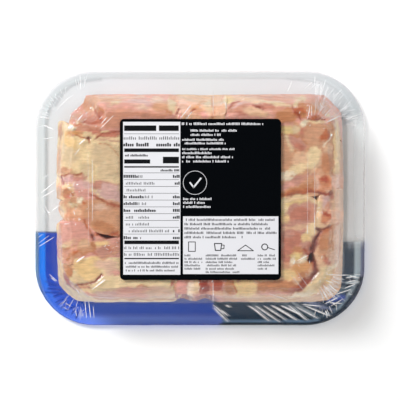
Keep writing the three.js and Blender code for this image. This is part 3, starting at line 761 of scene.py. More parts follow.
# %% Clear plastic
def clear_surface(tree, tint, straight_gloss, edge_gloss, roughness, haze):
    """The nodes of a clear sheet: what passes through, and the node that lays a gloss over it."""
    through = add_node(tree, "ShaderNodeBsdfTransparent", {"Color": linear(tint)}).outputs[0]
    veil = add_node(tree, "ShaderNodeBsdfDiffuse", {"Color": linear("F4F6F8")}).outputs[0]
    body = add_mix(tree, haze, through, veil)
    gloss = add_node(tree, "ShaderNodeBsdfGlossy", {"Color": (1, 1, 1, 1), "Roughness": roughness}).outputs[0]
    facing = add_node(tree, "ShaderNodeLayerWeight", {"Blend": 0.5}).outputs["Facing"]
    rise = add_math(tree, "POWER", facing, 5.0)
    share = add_math(tree, "MULTIPLY_ADD", rise, edge_gloss, straight_gloss)
    return body, add_mix(tree, share, body, gloss).node


# %% Tray
def make_tray():
    piece = merged_copy("tray", "_clear", True)
    bevel = piece.modifiers.new("bevel", "BEVEL")
    bevel.width = 0.9 * MM
    bevel.segments = 3
    bevel.limit_method = "ANGLE"
    bevel.angle_limit = math.radians(25)
    mesh = bake(piece)
    mesh.shade_smooth()
    mesh.set_sharp_from_angle(angle=math.radians(50))
    material, tree, surface = new_material("clear_pressed_sheet")
    sheet = clear_surface(tree, "FBFDFC", 0.008, 0.04, 0.04, 0.001)[1]
    tree.links.new(sheet.outputs[0], surface)
    mesh.materials.append(material)
    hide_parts("tray")
    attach(piece, "root")
    print("tray", len(mesh.polygons), "faces")


make_tray()

# %% [markdown]
# ## Stretch film
# The film is pulled over the mouth, folded round the rim and stretched up to the base. It spans the base
# flat, and gathers into many fine pleats at the round corners. Its face is printed with a plain band that
# also wraps the lip, so the band shows through the flange, blue on one side and navy on the other.

# %% Rings of the film
corner_steps = 100
side_steps = (46, 70)


def film_ring(section):
    """Points round a section, with as many in every ring, and the outward direction at each."""
    half, corner, lift = np.array(section[:2]), section[2], section[3]
    signs = np.array([[1, 1], [-1, 1], [-1, -1], [1, -1]])
    points, outward = [], []
    for side in range(4):
        start = side * math.pi / 2
        centre = signs[side] * (half - corner)
        for step in range(corner_steps):
            angle = start + (step / corner_steps) * math.pi / 2
            direction = np.array([math.cos(angle), math.sin(angle)])
            points.append(centre + corner * direction)
            outward.append(direction)
        direction = np.array([math.cos(start + math.pi / 2), math.sin(start + math.pi / 2)])
        first = centre + corner * direction
        last = signs[(side + 1) % 4] * (half - corner) + corner * direction
        count = side_steps[(side + 1) % 2]
        for step in range(count):
            points.append(first + (last - first) * step / count)
            outward.append(direction)
    points = np.array(points)
    return np.column_stack([points, np.full(len(points), lift)]), np.array(outward)


def pleat_heights(seed):
    """How far the film stands out at each step round the pack, from 0 to 1: gathered at the corners."""
    steps = 4 * corner_steps + 2 * sum(side_steps)
    chance = np.random.default_rng(seed)
    height = np.zeros(steps)
    start = 0
    for side in range(4):
        for _ in range(40):
            at = start + corner_steps * (0.5 + chance.normal(0, 0.36))
            width, tall = chance.uniform(0.7, 1.8), chance.uniform(0.25, 1.0)
            gap = np.abs((np.arange(steps) - at + steps / 2) % steps - steps / 2)
            height = np.maximum(height, tall * np.exp(-(gap / width) ** 2))
        start += corner_steps + side_steps[(side + 1) % 2]
    return height


# %% Skin of the film
def film_rows():
    """Rings from the middle of the face, round the rim and up to the edge of the opening under the label."""
    pleats = pleat_heights(5)
    rows = []

    def add(section, pleat=0.0):
        points, outward = film_ring(section)
        points[:, :2] += outward * (pleat * pleats)[:, None]
        rows.append(points)

    def rim(inset, height):
        return (film_foot[0] - inset, film_foot[1] - inset, max(film_foot[2] - inset, 6), height)

    for inset in (64, 48, 36, *np.arange(25, 0.9, -0.75)):
        add(rim(inset, 0.0))
    add(rim(0.5, 0.0))
    for inset, height, pleat in ((0.2, 0.25, 0.08), (0, 0.9, 0.12), (0, 2.4, 0.15)):
        add(rim(inset, height), pleat)
    climb = 12
    for step in range(climb + 1):
        share = step / climb
        add(blend(film_foot, film_head, share), 0.15 + 0.4 * share * (1 - share))
    add(blend(film_head, film_base, 0.5))
    add(blend(film_head, film_base, 0.92))
    edge, _ = film_ring(film_flat)
    opening = 46
    for share in (0, 0.25, 0.5, 0.75, 1.0):
        ring = edge.copy()
        ring[:, :2] = edge[:, :2] * (1 - share) + np.clip(edge[:, :2], -opening, opening) * share
        rows.append(ring)
    return rows


# %% [markdown]
# The film is dressed with a colour and a cover at each point. Ink covers it wholly, painted lighter where
# light falls on the rim and darker where shade falls. Where it is clear, a little grey is painted shade for
# the doubled plastic round the rim, where light is bent away, and a little white is painted light, most on
# the right side, which lies in shade. The stops run from the outer edge of the rim, at 0, to the foot of
# the tray's wall, at 1, and on under the wall.

# %% Bands round the rim
# Blue and navy ink with lighter and darker copies of it as painted light and shade, a grey for painted shade
# and white for painted light
film_colours = {
    "frost_blue": "B4E0FF",
    "lavender_blue": "7E9CFF",
    "pale_blue": "9CC0FF",
    "bright_blue": "1A84FF",
    "mid_blue": "1858DC",
    "deep_blue": "0C3CB8",
    "shadow_blue": "0A2E96",
    "violet_blue": "5A74E0",
    "dusk": "A4AEDA",
    "steel": "E4F3FF",
    "storm_blue": "86AEDA",
    "slate": "6E8798",
    "navy": "1C3C5A",
    "night": "060E18",
    "white": "FFFFFF",
    "smoke": "8A8F94",
}
film_palette = {name: np.array(linear(code)[:3]) for name, code in film_colours.items()}

# Painted light and shade round the rim: the ink is lighter where the lip catches light and darker under the
# walls, the pale tones on the navy and the lavender on the blue are painted highlights, and the white on the
# clear right is painted light over shade
rim_bands = {
    "clear left": [(0, "smoke", 0.1), (0.07, "smoke", 0.01), (0.7, "smoke", 0.02), (0.97, "smoke", 0.2),
                   (1.2, "smoke", 0.02), (2, "smoke", 0.015)],
    "clear right": [(0, "white", 0.5), (0.12, "white", 0.4), (0.5, "white", 0.4), (0.8, "white", 0.25),
                    (1.1, "white", 0.45), (1.4, "white", 0.5), (2, "white", 0.4), (2.8, "white", 0)],
    "clear top": [(0, "smoke", 0.08), (0.12, "smoke", 0.02), (0.8, "smoke", 0.02), (1.0, "smoke", 0.08),
                  (1.1, "smoke", 0.01), (2, "smoke", 0.0)],
    "clear turn": [(0, "smoke", 0.08), (0.12, "smoke", 0.02), (0.8, "smoke", 0.01), (1.0, "smoke", 0.05),
                   (1.1, "smoke", 0.0), (2, "smoke", 0.0)],
    "clear bottom": [(0, "smoke", 0.1), (2, "smoke", 0.05), (2.8, "smoke", 0)],
    "blue left": [(0, "frost_blue", 1), (0.1, "frost_blue", 1), (0.16, "pale_blue", 1),
                  (0.32, "bright_blue", 1), (0.82, "bright_blue", 1), (0.92, "deep_blue", 1),
                  (2, "deep_blue", 1)],
    "blue corner": [(0, "bright_blue", 1), (0.3, "mid_blue", 1), (1, "mid_blue", 1), (2, "deep_blue", 1)],
    "blue bottom": [(0, "lavender_blue", 1), (0.95, "lavender_blue", 1), (1.2, "violet_blue", 1),
                    (1.45, "mid_blue", 1), (1.9, "mid_blue", 1), (2.3, "deep_blue", 1)],
    "navy right": [(0, "dusk", 1), (0.25, "dusk", 1), (0.32, "steel", 1), (0.78, "steel", 1),
                   (1.0, "navy", 1), (2, "navy", 1)],
    "navy bottom": [(0, "slate", 1), (0.05, "slate", 1), (0.12, "navy", 1), (0.22, "navy", 1),
                    (0.34, "storm_blue", 1), (0.58, "storm_blue", 1), (0.85, "navy", 1), (2, "navy", 1)],
}
rim_edge = np.array(film_foot[:3])
wall_line = np.array(wall_foot[:3])
under_wall = 9


def across_rim(plan):
    """Where points lie from the rim's edge, 0, to the wall's foot, 1, and how much they face each side."""
    from_edge = np.clip(-outside(plan, rim_edge), 0, None)
    from_wall = outside(plan, wall_line)
    across = np.where(from_wall > 0, from_edge / (from_edge + np.clip(from_wall, 1e-6, None)),
                      1 - from_wall / under_wall)
    reach = np.clip(np.abs(plan) - rim_edge[:2] + rim_edge[2], 1e-6, None)
    facing = reach * np.sign(plan) / np.linalg.norm(reach, axis=1)[:, None]
    shares = {"left": np.clip(-facing[:, 0], 0, 1) ** 2, "right": np.clip(facing[:, 0], 0, 1) ** 2,
              "top": np.clip(facing[:, 1], 0, 1) ** 2, "bottom": np.clip(-facing[:, 1], 0, 1) ** 2}
    shares["corner"] = 6 * shares["left"] * shares["bottom"]
    shares["turn"] = 6 * shares["right"] * shares["top"]
    return across, shares


def rim_dress(plan, look):
    """The colour and cover of one look, clear, blue or navy, at each point."""
    across, shares = across_rim(plan)
    dress = np.zeros((len(plan), 4))
    total = np.full(len(plan), 1e-9)
    for side, share in shares.items():
        stops = rim_bands.get(look + " " + side)
        if not stops:
            continue
        places = [place for place, _, _ in stops]
        bands = np.column_stack(
            [np.interp(across, places, [film_palette[tone][i] for _, tone, _ in stops]) for i in range(3)]
            + [np.interp(across, places, [cover for _, _, cover in stops])])
        dress += bands * share[:, None]
        total += share
    return dress / total[:, None]


# %% [markdown]
# Many pleats and creases were picked as pixels of the reference photograph, column and row. Two
# functions turn such a pixel into millimetres: one for the plane of the pack's face, and one for the film's
# outer skin, which follows the line of sight through the pixel up to the height where it meets the skin.
# Both round to a tenth of a millimetre, because a pick is no finer than that.

# %% Places picked in the photograph
photo_column, photo_row = 200, 199.5
face_scale = 0.667
sight_height = 900
first_height = 20.0


def on_face(line):
    """A line of pixels as places on the pack's face."""
    return [(round((column - photo_column) * face_scale, 1), round((photo_row - row) * face_scale, 1))
            for column, row in line]


def on_skin(line):
    """A line of pixels as places on the film's outer skin, seen from above."""
    places = []
    for column, row in line:
        height = first_height
        for _ in range(40):
            scale = face_scale * (sight_height - height) / sight_height
            place = np.array([[(column - photo_column) * scale, (photo_row - row) * scale]])
            height = 0.5 * height + 0.5 * film_height(place)[0]
        places.append((round(float(place[0, 0]), 1), round(float(place[0, 1]), 1)))
    return places


def picked(place, rows):
    """Strokes or creases whose last entry is a line of pixels, each with that line in millimetres."""
    return [(*row[:-1], place(row[-1])) for row in rows]


print("a pixel at the rim is", face_scale, "mm wide")

# %% [markdown]
# Painted shade and highlights of pleats in the face and on the lip are strokes: a colour, how much it
# covers, its half width in millimetres and its line of points.

# %% Pleats in the face
face_strokes = [
    # Painted shade of pleats in the blue corner, in pixels
    *picked(on_face, [
        ("shadow_blue", 0.8, 0.45, [(47, 278.5), (55.4, 280.8)]),
        ("shadow_blue", 0.9, 0.4, [(45.4, 283), (55.4, 286)]),
        ("shadow_blue", 0.9, 0.5, [(48.5, 286.2), (59.2, 286.9)]),
        ("shadow_blue", 1.0, 0.55, [(47.7, 290), (63.8, 291.5)]),
        ("shadow_blue", 0.9, 0.5, [(45.4, 293.8), (62.3, 294.6)]),
        ("shadow_blue", 1.0, 0.55, [(53.8, 297.7), (66.9, 293.8)]),
        ("shadow_blue", 0.9, 0.45, [(55.4, 303.8), (64.6, 300)]),
        ("shadow_blue", 1.0, 0.5, [(57.7, 306), (66.9, 303)]),
        ("shadow_blue", 0.9, 0.5, [(60.8, 309.2), (70, 305.4)]),
        ("shadow_blue", 1.0, 0.5, [(65, 312), (74, 308)]),
        ("shadow_blue", 0.9, 0.5, [(71.5, 315.4), (75.4, 309.2)]),
        ("shadow_blue", 1.0, 0.6, [(76, 319), (78, 313)]),
    ]),
    # Painted shade of folds round the clear corners
    ("smoke", 0.06, 1.2, [(-103, 47), (-102, 54), (-98, 62)]),
    ("smoke", 0.13, 1.2, [(-96.5, 62), (-94, 66), (-91, 70.5), (-86, 74.7), (-79.5, 77.6), (-73, 78.8),
                          (-66, 79.6)]),
    ("slate", 0.45, 0.7, [(94.0, 53.0), (99.7, 57.0)]),
    ("slate", 0.5, 0.7, [(97.0, 50.0), (101.7, 52.7)]),
    *picked(on_face, [
        ("slate", 0.35, 0.6, [(351, 131), (353.5, 129)]),
        ("slate", 0.2, 0.8, [(344, 112), (346.5, 115)]),
    ]),
    ("smoke", 0.1, 0.7, [(58, 79.6), (70, 78.6), (80, 76.4)]),
    # Folds in the navy corner and along the bottom: dark strokes are painted shade, pale steel and dusk ones
    # painted highlights
    ("slate", 0.6, 1.6, [(36, -71), (50, -80)]),
    ("slate", 0.55, 2.0, [(56, -70), (72, -79), (84, -80)]),
    ("steel", 0.5, 1.0, [(62, -70), (76, -77.6)]),
    ("dusk", 0.7, 1.6, [(72, -69), (88, -75)]),
    *picked(on_face, [
        ("night", 0.9, 0.9, [(262, 309), (283, 323)]),
        ("night", 0.7, 0.6, [(274, 309), (290, 320)]),
        ("night", 0.9, 0.7, [(279, 308.5), (294, 319)]),
        ("night", 0.8, 0.6, [(287, 310), (305, 322)]),
        ("night", 0.8, 0.6, [(297, 312), (312, 321)]),
        ("night", 1.0, 0.9, [(326.5, 311.5), (332, 314)]),
        ("navy", 0.9, 1.8, [(322, 320.5), (334, 316.5), (345, 309)]),
    ]),
    ("navy", 1.0, 2.0, [(97.4, -71.0), (103.5, -63.4), (107.4, -53.7)]),
    ("slate", 0.8, 2.2, [(91, -63), (100, -60)]),
    *picked(on_face, [
        ("night", 0.9, 0.6, [(347, 281), (356, 281)]),
        ("night", 0.9, 0.6, [(347, 287), (355, 284.5)]),
    ]),
    ("steel", 0.8, 0.7, [(97.6, -56.6), (106, -56.4)]),
    ("steel", 0.8, 0.6, [(99, -52), (106, -51.6)]),
    ("violet_blue", 0.95, 2.2, [(87, -67.5), (95, -66.4)]),
    ("steel", 0.6, 0.5, [(86, -69.6), (93, -65.4)]),
]


blue_top, navy_top = -23.3, -29


def dress_film(points):
    """The film's colour and cover at each point, given in millimetres: ink, painted light and painted shade.
    """
    plan, height = points[:, :2], points[:, 2]
    split = np.interp(-plan[:, 1], [70.4, 79.8, 84.5], [8.7, 14.7, 14.0])
    is_navy = plan[:, 0] > split
    is_low = height < film_foot[3] - 0.2
    inked = is_low & (plan[:, 1] < np.where(plan[:, 0] > 0, navy_top, blue_top))
    ink = np.where(is_navy[:, None], rim_dress(plan, "navy"), rim_dress(plan, "blue"))
    dress = np.where(inked[:, None], ink, rim_dress(plan, "clear"))
    ragged = mottle(plan, 3, 31)
    for tone, strength, width, line in face_strokes:
        cover = strength * np.exp(-(distance_to_line(plan, line) / (width * (1 + 0.25 * ragged))) ** 2)
        dress[:, :3] = dress[:, :3] * (1 - cover[:, None]) + film_palette[tone] * cover[:, None]
        dress[:, 3] = np.maximum(dress[:, 3], cover)
    # Above the rim the film gets only painted light: white on the slope round the base, most where it faces
    # the lamp's far side, and white on the right wall, which lies in shade
    facing = across_rim(plan)[1]
    on_slope = smooth_step(35.6, 36.9, height) * (1 - smooth_step(41.2, 41.7, height))
    veil = np.zeros((len(plan), 4))
    veil[:, :3] = film_palette["white"]
    veil[:, 3] = on_slope * (0.01 + 0.07 * facing["right"] + 0.06 * facing["bottom"])
    low_down = smooth_step(3.8, 6, height) * (1 - smooth_step(8, 24, height))
    slope = smooth_step(3.8, 6, height) * (1 - smooth_step(28, 36, height))
    shaded_wall_light = 0.02 + smooth_step(-35, -22, plan[:, 1]) * (0.14 * low_down + 0.2 * slope)
    shaded_wall_light *= 1 - smooth_step(45, 62, plan[:, 1])
    veil[:, 3] += facing["right"] * slope * shaded_wall_light
    return np.where(is_low[:, None], dress, veil)


# %% Film
def make_film(material):
    rows = film_rows()
    count = len(rows[0])
    faces = []
    for level in range(len(rows) - 1):
        for step in range(count):
            after = (step + 1) % count
            low, high = level * count, (level + 1) * count
            faces.append((low + step, low + after, high + after, high + step))
    faces.append(tuple(reversed(range(count))))
    mesh = bpy.data.meshes.new("film_clear")
    mesh.from_pydata([tuple(point) for point in np.concatenate(rows) * MM], [], faces)
    joined = bmesh.new()
    joined.from_mesh(mesh)
    bmesh.ops.remove_doubles(joined, verts=joined.verts, dist=0.02 * MM)
    bmesh.ops.recalc_face_normals(joined, faces=joined.faces)
    joined.to_mesh(mesh)
    joined.free()
    piece = add_object("film_clear", mesh)
    solid = piece.modifiers.new("solid", "SOLIDIFY")
    solid.thickness = film_thickness * MM
    solid.offset = -1
    mesh = bake(piece)
    dress = mesh.color_attributes.new("dress", "FLOAT_COLOR", "POINT")
    dress.data.foreach_set("color", dress_film(read_vectors(mesh.vertices, "co") / MM).ravel())
    mesh.shade_smooth()
    mesh.materials.clear()
    mesh.materials.append(material)
    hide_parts("film")
    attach(piece, "root")
    print("film", len(mesh.polygons), "faces")


# %% Printed stretch film
def make_printed_film():
    material, tree, surface = new_material("printed_stretch_film")
    clear, sheet = clear_surface(tree, "FDFDFE", 0.005, 0.05, 0.06, 0.001)
    dress = add_node(tree, "ShaderNodeAttribute", {"attribute_name": "dress"}).outputs
    # The dress holds the ink and the painted light and shade
    ink_and_painted_light = add_node(tree, "ShaderNodeBsdfDiffuse", {"Color": dress["Color"]}).outputs[0]
    tree.links.new(add_mix(tree, dress["Alpha"], clear, ink_and_painted_light), sheet.inputs[1])
    tree.links.new(sheet.outputs[0], surface)
    return material


make_film(make_printed_film())

# %% [markdown]
# ## Creases
# Where stretched film folds on itself, it shines as a thin white line; here that shine is painted, as white
# highlights. Each crease is drawn as a line of points seen from above and laid on the skin of the film. A
# Geometry Nodes tree then gives all of them a low flat ridge whose width wavers and runs out at the ends.

# %% Lines of creases
def bolder(rows):
    """The same creases, stronger and wider, as they stand out on the printed bands."""
    return [(min(1.0, round(1.2 * strength, 2)), round(1.35 * width, 2), line)
            for strength, width, line in rows]


# Each has a strength from 0 to 1, a half width in millimetres and its points, which are pixels in the lists
# of picked ones and millimetres elsewhere
creases = [
    # Clear rim at the left
    *picked(on_skin, [
        (0.9, 0.3, [(43.8, 126), (53.8, 130)]),
        (0.7, 0.3, [(42.5, 140), (53.8, 137.5)]),
        (0.8, 0.35, [(42.5, 179), (48.8, 175)]),
        (0.9, 0.5, [(41, 194), (56, 181)]),
        (0.9, 0.45, [(41.5, 198.5), (55, 190)]),
        (0.9, 0.5, [(52, 211), (60, 205)]),
    ]),
    (1.0, 0.8, [(-98.9, -8.8), (-97.3, -8.6)]),
    (0.4, 0.25, [(-103.6, -1), (-97.8, -10), (-96, -14)]),
    (0.4, 0.2, [(-106, -3), (-99, -12)]),
    # Blue rim at the left, and the blue corner
    *picked(on_skin, [
        (0.75, 0.3, [(38, 248), (53.8, 237.5)]),
        (0.6, 0.25, [(37.5, 245), (48.8, 236)]),
        (0.55, 0.25, [(37.5, 238.8), (42.5, 235)]),
        (0.55, 0.3, [(49, 275), (57, 281.5)]),
    ]),
    (0.4, 0.4, [(-97, -51), (-93, -53)]),
    *picked(on_skin, [
        (0.5, 0.3, [(80, 307.7), (80.8, 317)]),
        (0.8, 0.4, [(84.6, 301.5), (86.2, 319.2)]),
        (0.85, 0.4, [(88.5, 301.5), (90.4, 319.2)]),
        (0.7, 0.3, [(93, 307), (93.8, 319.2)]),
        (0.6, 0.3, [(75.4, 311.5), (76.2, 317.7)]),
    ]),
    (0.4, 0.25, [(-84.0, -61.5), (-88.6, -66.2)]),
    (0.4, 0.25, [(-80.4, -62.8), (-85.5, -70.6)]),
    (0.45, 0.25, [(-78.4, -64.5), (-81.5, -72.5)]),
    *picked(on_skin, [(0.45, 0.4, [(76, 289), (79, 294)])]),
    (0.4, 0.3, [(-88, -68), (-84, -70)]),
    (0.35, 0.3, [(-90, -71), (-86.4, -73.4)]),
    # Bottom
    *bolder([(0.35, 0.25, [(8.3, -52), (8.4, -66.4)])]),
    *bolder(picked(on_skin, [
        (0.75, 0.35, [(213.8, 308.3), (228.5, 323.3)]),
        (0.4, 0.35, [(213, 305.2), (223.8, 314.5)]),
        (0.4, 0.35, [(220.8, 310.6), (228.5, 317.5)]),
        (0.8, 0.3, [(226.2, 305.2), (230, 308.3)]),
        (0.8, 0.35, [(248.5, 306), (255.4, 310.6), (270, 322.9)]),
        (0.7, 0.3, [(255.4, 306), (280.8, 324)]),
        (0.65, 0.3, [(263.8, 306), (287, 321.8)]),
        (0.9, 0.4, [(271.5, 305.6), (282.3, 312), (297.7, 321.8)]),
        (0.6, 0.4, [(281.5, 306), (300, 315.2)]),
        (0.8, 0.35, [(288.5, 305.6), (308, 322)]),
        (0.5, 0.3, [(295.8, 307), (318.8, 320)]),
        (0.5, 0.35, [(305, 306), (331, 317.7)]),
    ])),
    *bolder([(0.7, 0.25, [(66, -67.6), (78, -69.4)])]),
    # Navy corner
    *bolder(picked(on_skin, [
        (0.7, 0.3, [(325, 304.5), (338, 298.5)]),
        (0.5, 0.3, [(331, 307), (343, 300)]),
        (0.6, 0.35, [(330, 303.5), (341, 304.5)]),
        (0.6, 0.4, [(346, 278.5), (357, 277)]),
        (0.5, 0.35, [(347, 283), (356, 281)]),
        (0.6, 0.4, [(345, 289), (356, 285)]),
        (0.4, 0.4, [(336, 295), (352, 290)]),
    ])),
    # Clear corners at the top
    *picked(on_skin, [
        (0.8, 0.4, [(55, 113), (60, 107), (68, 99), (75, 95.5)]),
        (0.7, 0.35, [(287, 93), (292, 82)]),
        (0.6, 0.35, [(305, 89), (312, 83)]),
        (0.6, 0.3, [(310, 90), (316, 84)]),
        (0.6, 0.3, [(316, 93), (322, 87)]),
    ]),
    # Base at the left
    (1.0, 0.6, [(-70, 57.6), (-69, 58.6)]),
    (0.7, 1.6, [(-84, 45.4), (-80.4, 46.8)]),
    (1.0, 0.5, [(-78, 50), (-74.5, 54)]),
    (0.9, 0.3, [(-64, 51), (-62, 53)]),
    (0.95, 0.32, [(-63, 48), (-59, 52.5)]),
    (0.9, 0.25, [(-63.5, 45), (-55, 53.5)]),
    (0.5, 0.8, [(-77, 35), (-73, 38.5)]),
    (0.35, 0.25, [(-80, 28), (-76, 33)]),
    (0.8, 0.5, [(-84.6, 9.5), (-83.4, 9.5)]),
    (0.8, 0.6, [(-78.8, 9.2), (-77.4, 9.8)]),
    (0.7, 0.4, [(-74.4, 9), (-73.6, 9.4)]),
    (0.7, 0.4, [(-84.6, 7.4), (-82, 7.6)]),
    (0.5, 0.3, [(-81, 8), (-80, 11)]),
    (0.7, 0.35, [(-86.6, -15.6), (-83.4, -15.4)]),
    (0.5, 0.3, [(-78, -12.2), (-76, -11.8)]),
    (0.5, 0.4, [(-82.4, -3.4), (-81.6, -2.6)]),
    (0.6, 0.4, [(-80.4, -7), (-79.8, -10)]),
    (0.95, 0.75, [(-79, -40), (-73.5, -36)]),
    (0.95, 0.4, [(-69, -57.5), (-60, -51)]),
    (0.6, 0.3, [(-66, -54.8), (-60.4, -50.4)]),
    # Base at the top
    (0.6, 0.4, [(-13, 51), (-9, 56), (-5.5, 60.5)]),
    (0.5, 0.3, [(-9, 51), (-5, 56)]),
    (0.4, 0.25, [(8.3, 52), (8.4, 70)]),
    (0.8, 0.3, [(16.5, 62), (16.5, 58)]),
    (0.7, 0.35, [(17.3, 55.4), (17.7, 54.6)]),
    (0.6, 0.4, [(31.6, 60.4), (32.4, 60.6)]),
    (0.5, 0.35, [(38.2, 60.8), (38.8, 61.2)]),
    # Base at the right, and the step round it
    (0.9, 0.3, [(69.6, 60), (69.4, 56), (68.3, 51)]),
    (0.8, 0.25, [(71, 60), (71, 53)]),
    (0.9, 0.6, [(83.4, 40.2), (84, 41.8)]),
    (0.85, 0.3, [(62, -39), (69, -35.5)]),
    (0.6, 0.35, [(60.4, -38.4), (59.6, -41.4)]),
    (0.6, 0.3, [(68.3, -16), (68.4, -22)]),
    (0.5, 0.25, [(72.8, -8), (73, -22)]),
    (0.2, 0.22, [(68.4, 30), (68.4, -20)]),
    (0.3, 0.2, [(73, 24), (73, -24)]),
    # The step round the base at the left
    (0.4, 0.3, [(-68.5, 26), (-68.5, -14)]),
    (0.25, 0.2, [(-71.2, 30), (-71.0, -30)]),
    # Base at the bottom right
    (0.35, 0.3, [(44, -60), (56, -64.4)]),
    (0.4, 0.2, [(58, -48), (66, -58)]),
    (0.35, 0.2, [(62, -46), (70, -57)]),
]


# Fainter, thinner creases run beside those of the navy band
for strength, width, line in list(creases):
    if all(8 < x < 90 and y < -66 for x, y in line):
        for shift in (1.5, -1.1):
            creases.append((0.5 * strength, 0.6 * width, [(x + shift, y) for x, y in line]))


def fan(seed, corner, count, angles, inner, outer, width, strength):
    """Creases that run out across a corner, most of them short."""
    chance = np.random.default_rng(seed)
    centre = np.array(corner) * (rim_edge[:2] - rim_edge[2])
    lines = []
    for turn in np.sort(chance.uniform(angles[0], angles[1], count)):
        start = chance.uniform(inner, inner + 0.5 * (outer - inner))
        end = chance.uniform(start + 2, outer)
        lean = math.radians(turn + chance.normal(0, 2.5))
        turn = math.radians(turn)
        line = [centre + start * np.array([math.cos(turn), math.sin(turn)]),
                centre + end * np.array([math.cos(lean), math.sin(lean)])]
        lines.append((strength * chance.uniform(0.4, 1), width * chance.uniform(0.6, 1.3), line))
    return lines


creases += fan(41, (1, 1), 50, (2, 84), 20, 36, 0.24, 1.0)
creases += fan(42, (1, 1), 28, (15, 75), 8, 26, 0.2, 0.55)
creases += fan(43, (1, -1), 40, (-66, -8), 10, 28, 0.26, 0.7)
creases += fan(44, (1, -1), 22, (-80, -5), 26, 37, 0.32, 0.8)
creases += fan(45, (-1, 1), 30, (96, 178), 26, 37.5, 0.2, 0.6)
creases += fan(46, (-1, -1), 18, (228, 264), 25, 37, 0.17, 0.55)


def glints(seed, middle, spread, count):
    """Short painted glints on the film, scattered round a place, most of them along the stretch of the film.
    """
    chance = np.random.default_rng(seed)
    nicks = []
    for x, y in chance.normal(middle, spread, (count, 2)):
        turn, half = math.radians(chance.normal(48, 30)), chance.uniform(0.3, 1.1)
        reach = (half * math.cos(turn), half * math.sin(turn))
        nicks.append((chance.uniform(0.4, 1), chance.uniform(0.14, 0.3),
                      [(x - reach[0], y - reach[1]), (x + reach[0], y + reach[1])]))
    return nicks


glint_groups = [
    (51, (-78, -8), (4, 7), 16), (52, (-74, 50), (6, 5), 14), (53, (-57, -31), (3, 3), 8),
    (54, (72, 52), (7, 6), 16), (55, (72, -50), (7, 7), 14), (56, (6, -58), (5, 4), 9),
    (57, (12, 60), (10, 3), 8), (58, (78, -6), (4, 8), 8),
]
for seed, middle, spread, count in glint_groups:
    creases += glints(seed, middle, spread, count)
print(len(creases), "creases")

# %% Ridges along the creases
least_radius = 0.03 * MM


def crease_tree(material):
    """Turns lines that carry a half width into low ridges, flat in section, that run out at both ends."""
    tree = bpy.data.node_groups.new("creases", "GeometryNodeTree")
    tree.interface.new_socket("Geometry", in_out="INPUT", socket_type="NodeSocketGeometry")
    for name in ("Step", "Waver", "Waver Scale", "Seed"):
        tree.interface.new_socket(name, in_out="INPUT", socket_type="NodeSocketFloat")
    tree.interface.new_socket("Geometry", in_out="OUTPUT", socket_type="NodeSocketGeometry")
    given = add_node(tree, "NodeGroupInput").outputs
    curves = add_node(tree, "GeometryNodeMeshToCurve", {"Mesh": given["Geometry"]}).outputs[0]
    even = add_node(tree, "GeometryNodeResampleCurve", {"mode": "LENGTH", "Curve": curves,
                                                        "Length": given["Step"]}).outputs[0]
    width = add_node(tree, "GeometryNodeInputNamedAttribute", {"data_type": "FLOAT", "Name": "half_width"})
    along = add_node(tree, "GeometryNodeSplineParameter").outputs["Factor"]
    # Zero at both ends of a crease and most in its middle, rising fast
    product = add_math(tree, "MULTIPLY", along, add_math(tree, "SUBTRACT", 1.0, along))
    taper = add_math(tree, "POWER", product, 0.4)
    place = add_node(tree, "GeometryNodeInputPosition").outputs[0]
    noise = add_node(tree, "ShaderNodeTexNoise", {"noise_dimensions": "4D", "Detail": 2, "Vector": place,
                                                  "Scale": given["Waver Scale"], "W": given["Seed"]})
    centred = add_math(tree, "SUBTRACT", noise.outputs[0], 0.5)
    waver = add_math(tree, "MULTIPLY_ADD", centred, given["Waver"], 1.0)
    radius = add_math(tree, "MULTIPLY", add_math(tree, "MULTIPLY", width.outputs[0], taper), waver)
    upright = add_node(tree, "GeometryNodeSetCurveNormal", {"mode": "Z_UP", "Curve": even}).outputs[0]
    section = add_node(tree, "GeometryNodeCurvePrimitiveCircle", {"Resolution": 6, "Radius": 1.0}).outputs[0]
    flat = add_node(tree, "GeometryNodeTransform", {"Scale": (1, 0.25, 1), "Geometry": section}).outputs[0]
    ridges = add_node(tree, "GeometryNodeCurveToMesh", {
        "Fill Caps": True, "Curve": upright, "Profile Curve": flat,
        "Scale": add_math(tree, "MAXIMUM", radius, least_radius),
    }).outputs[0]
    plain = add_node(tree, "GeometryNodeRealizeInstances", {"Geometry": ridges}).outputs[0]
    finish = add_node(tree, "GeometryNodeSetMaterial", {"Material": material, "Geometry": plain}).outputs[0]
    add_node(tree, "NodeGroupOutput", {"Geometry": finish})
    return tree


# %% [markdown]
# A crease is painted white, as a highlight, and see-through where it is weak. How strong it is comes with the
# ridge.

# %% Painted crease highlights
def make_crease_highlights():
    material, tree, surface = new_material("creased_film")
    strength = add_node(tree, "ShaderNodeAttribute", {"attribute_name": "strength"}).outputs["Fac"]
    clear = add_node(tree, "ShaderNodeBsdfTransparent", {"Color": (1, 1, 1, 1)}).outputs[0]
    white = add_node(tree, "ShaderNodeBsdfDiffuse", {"Color": linear("FFFFFF")}).outputs[0]
    gloss = add_node(tree, "ShaderNodeBsdfGlossy", {"Color": (1, 1, 1, 1), "Roughness": 0.25}).outputs[0]
    tree.links.new(add_mix(tree, strength, clear, add_mix(tree, 0.2, white, gloss)), surface)
    return material


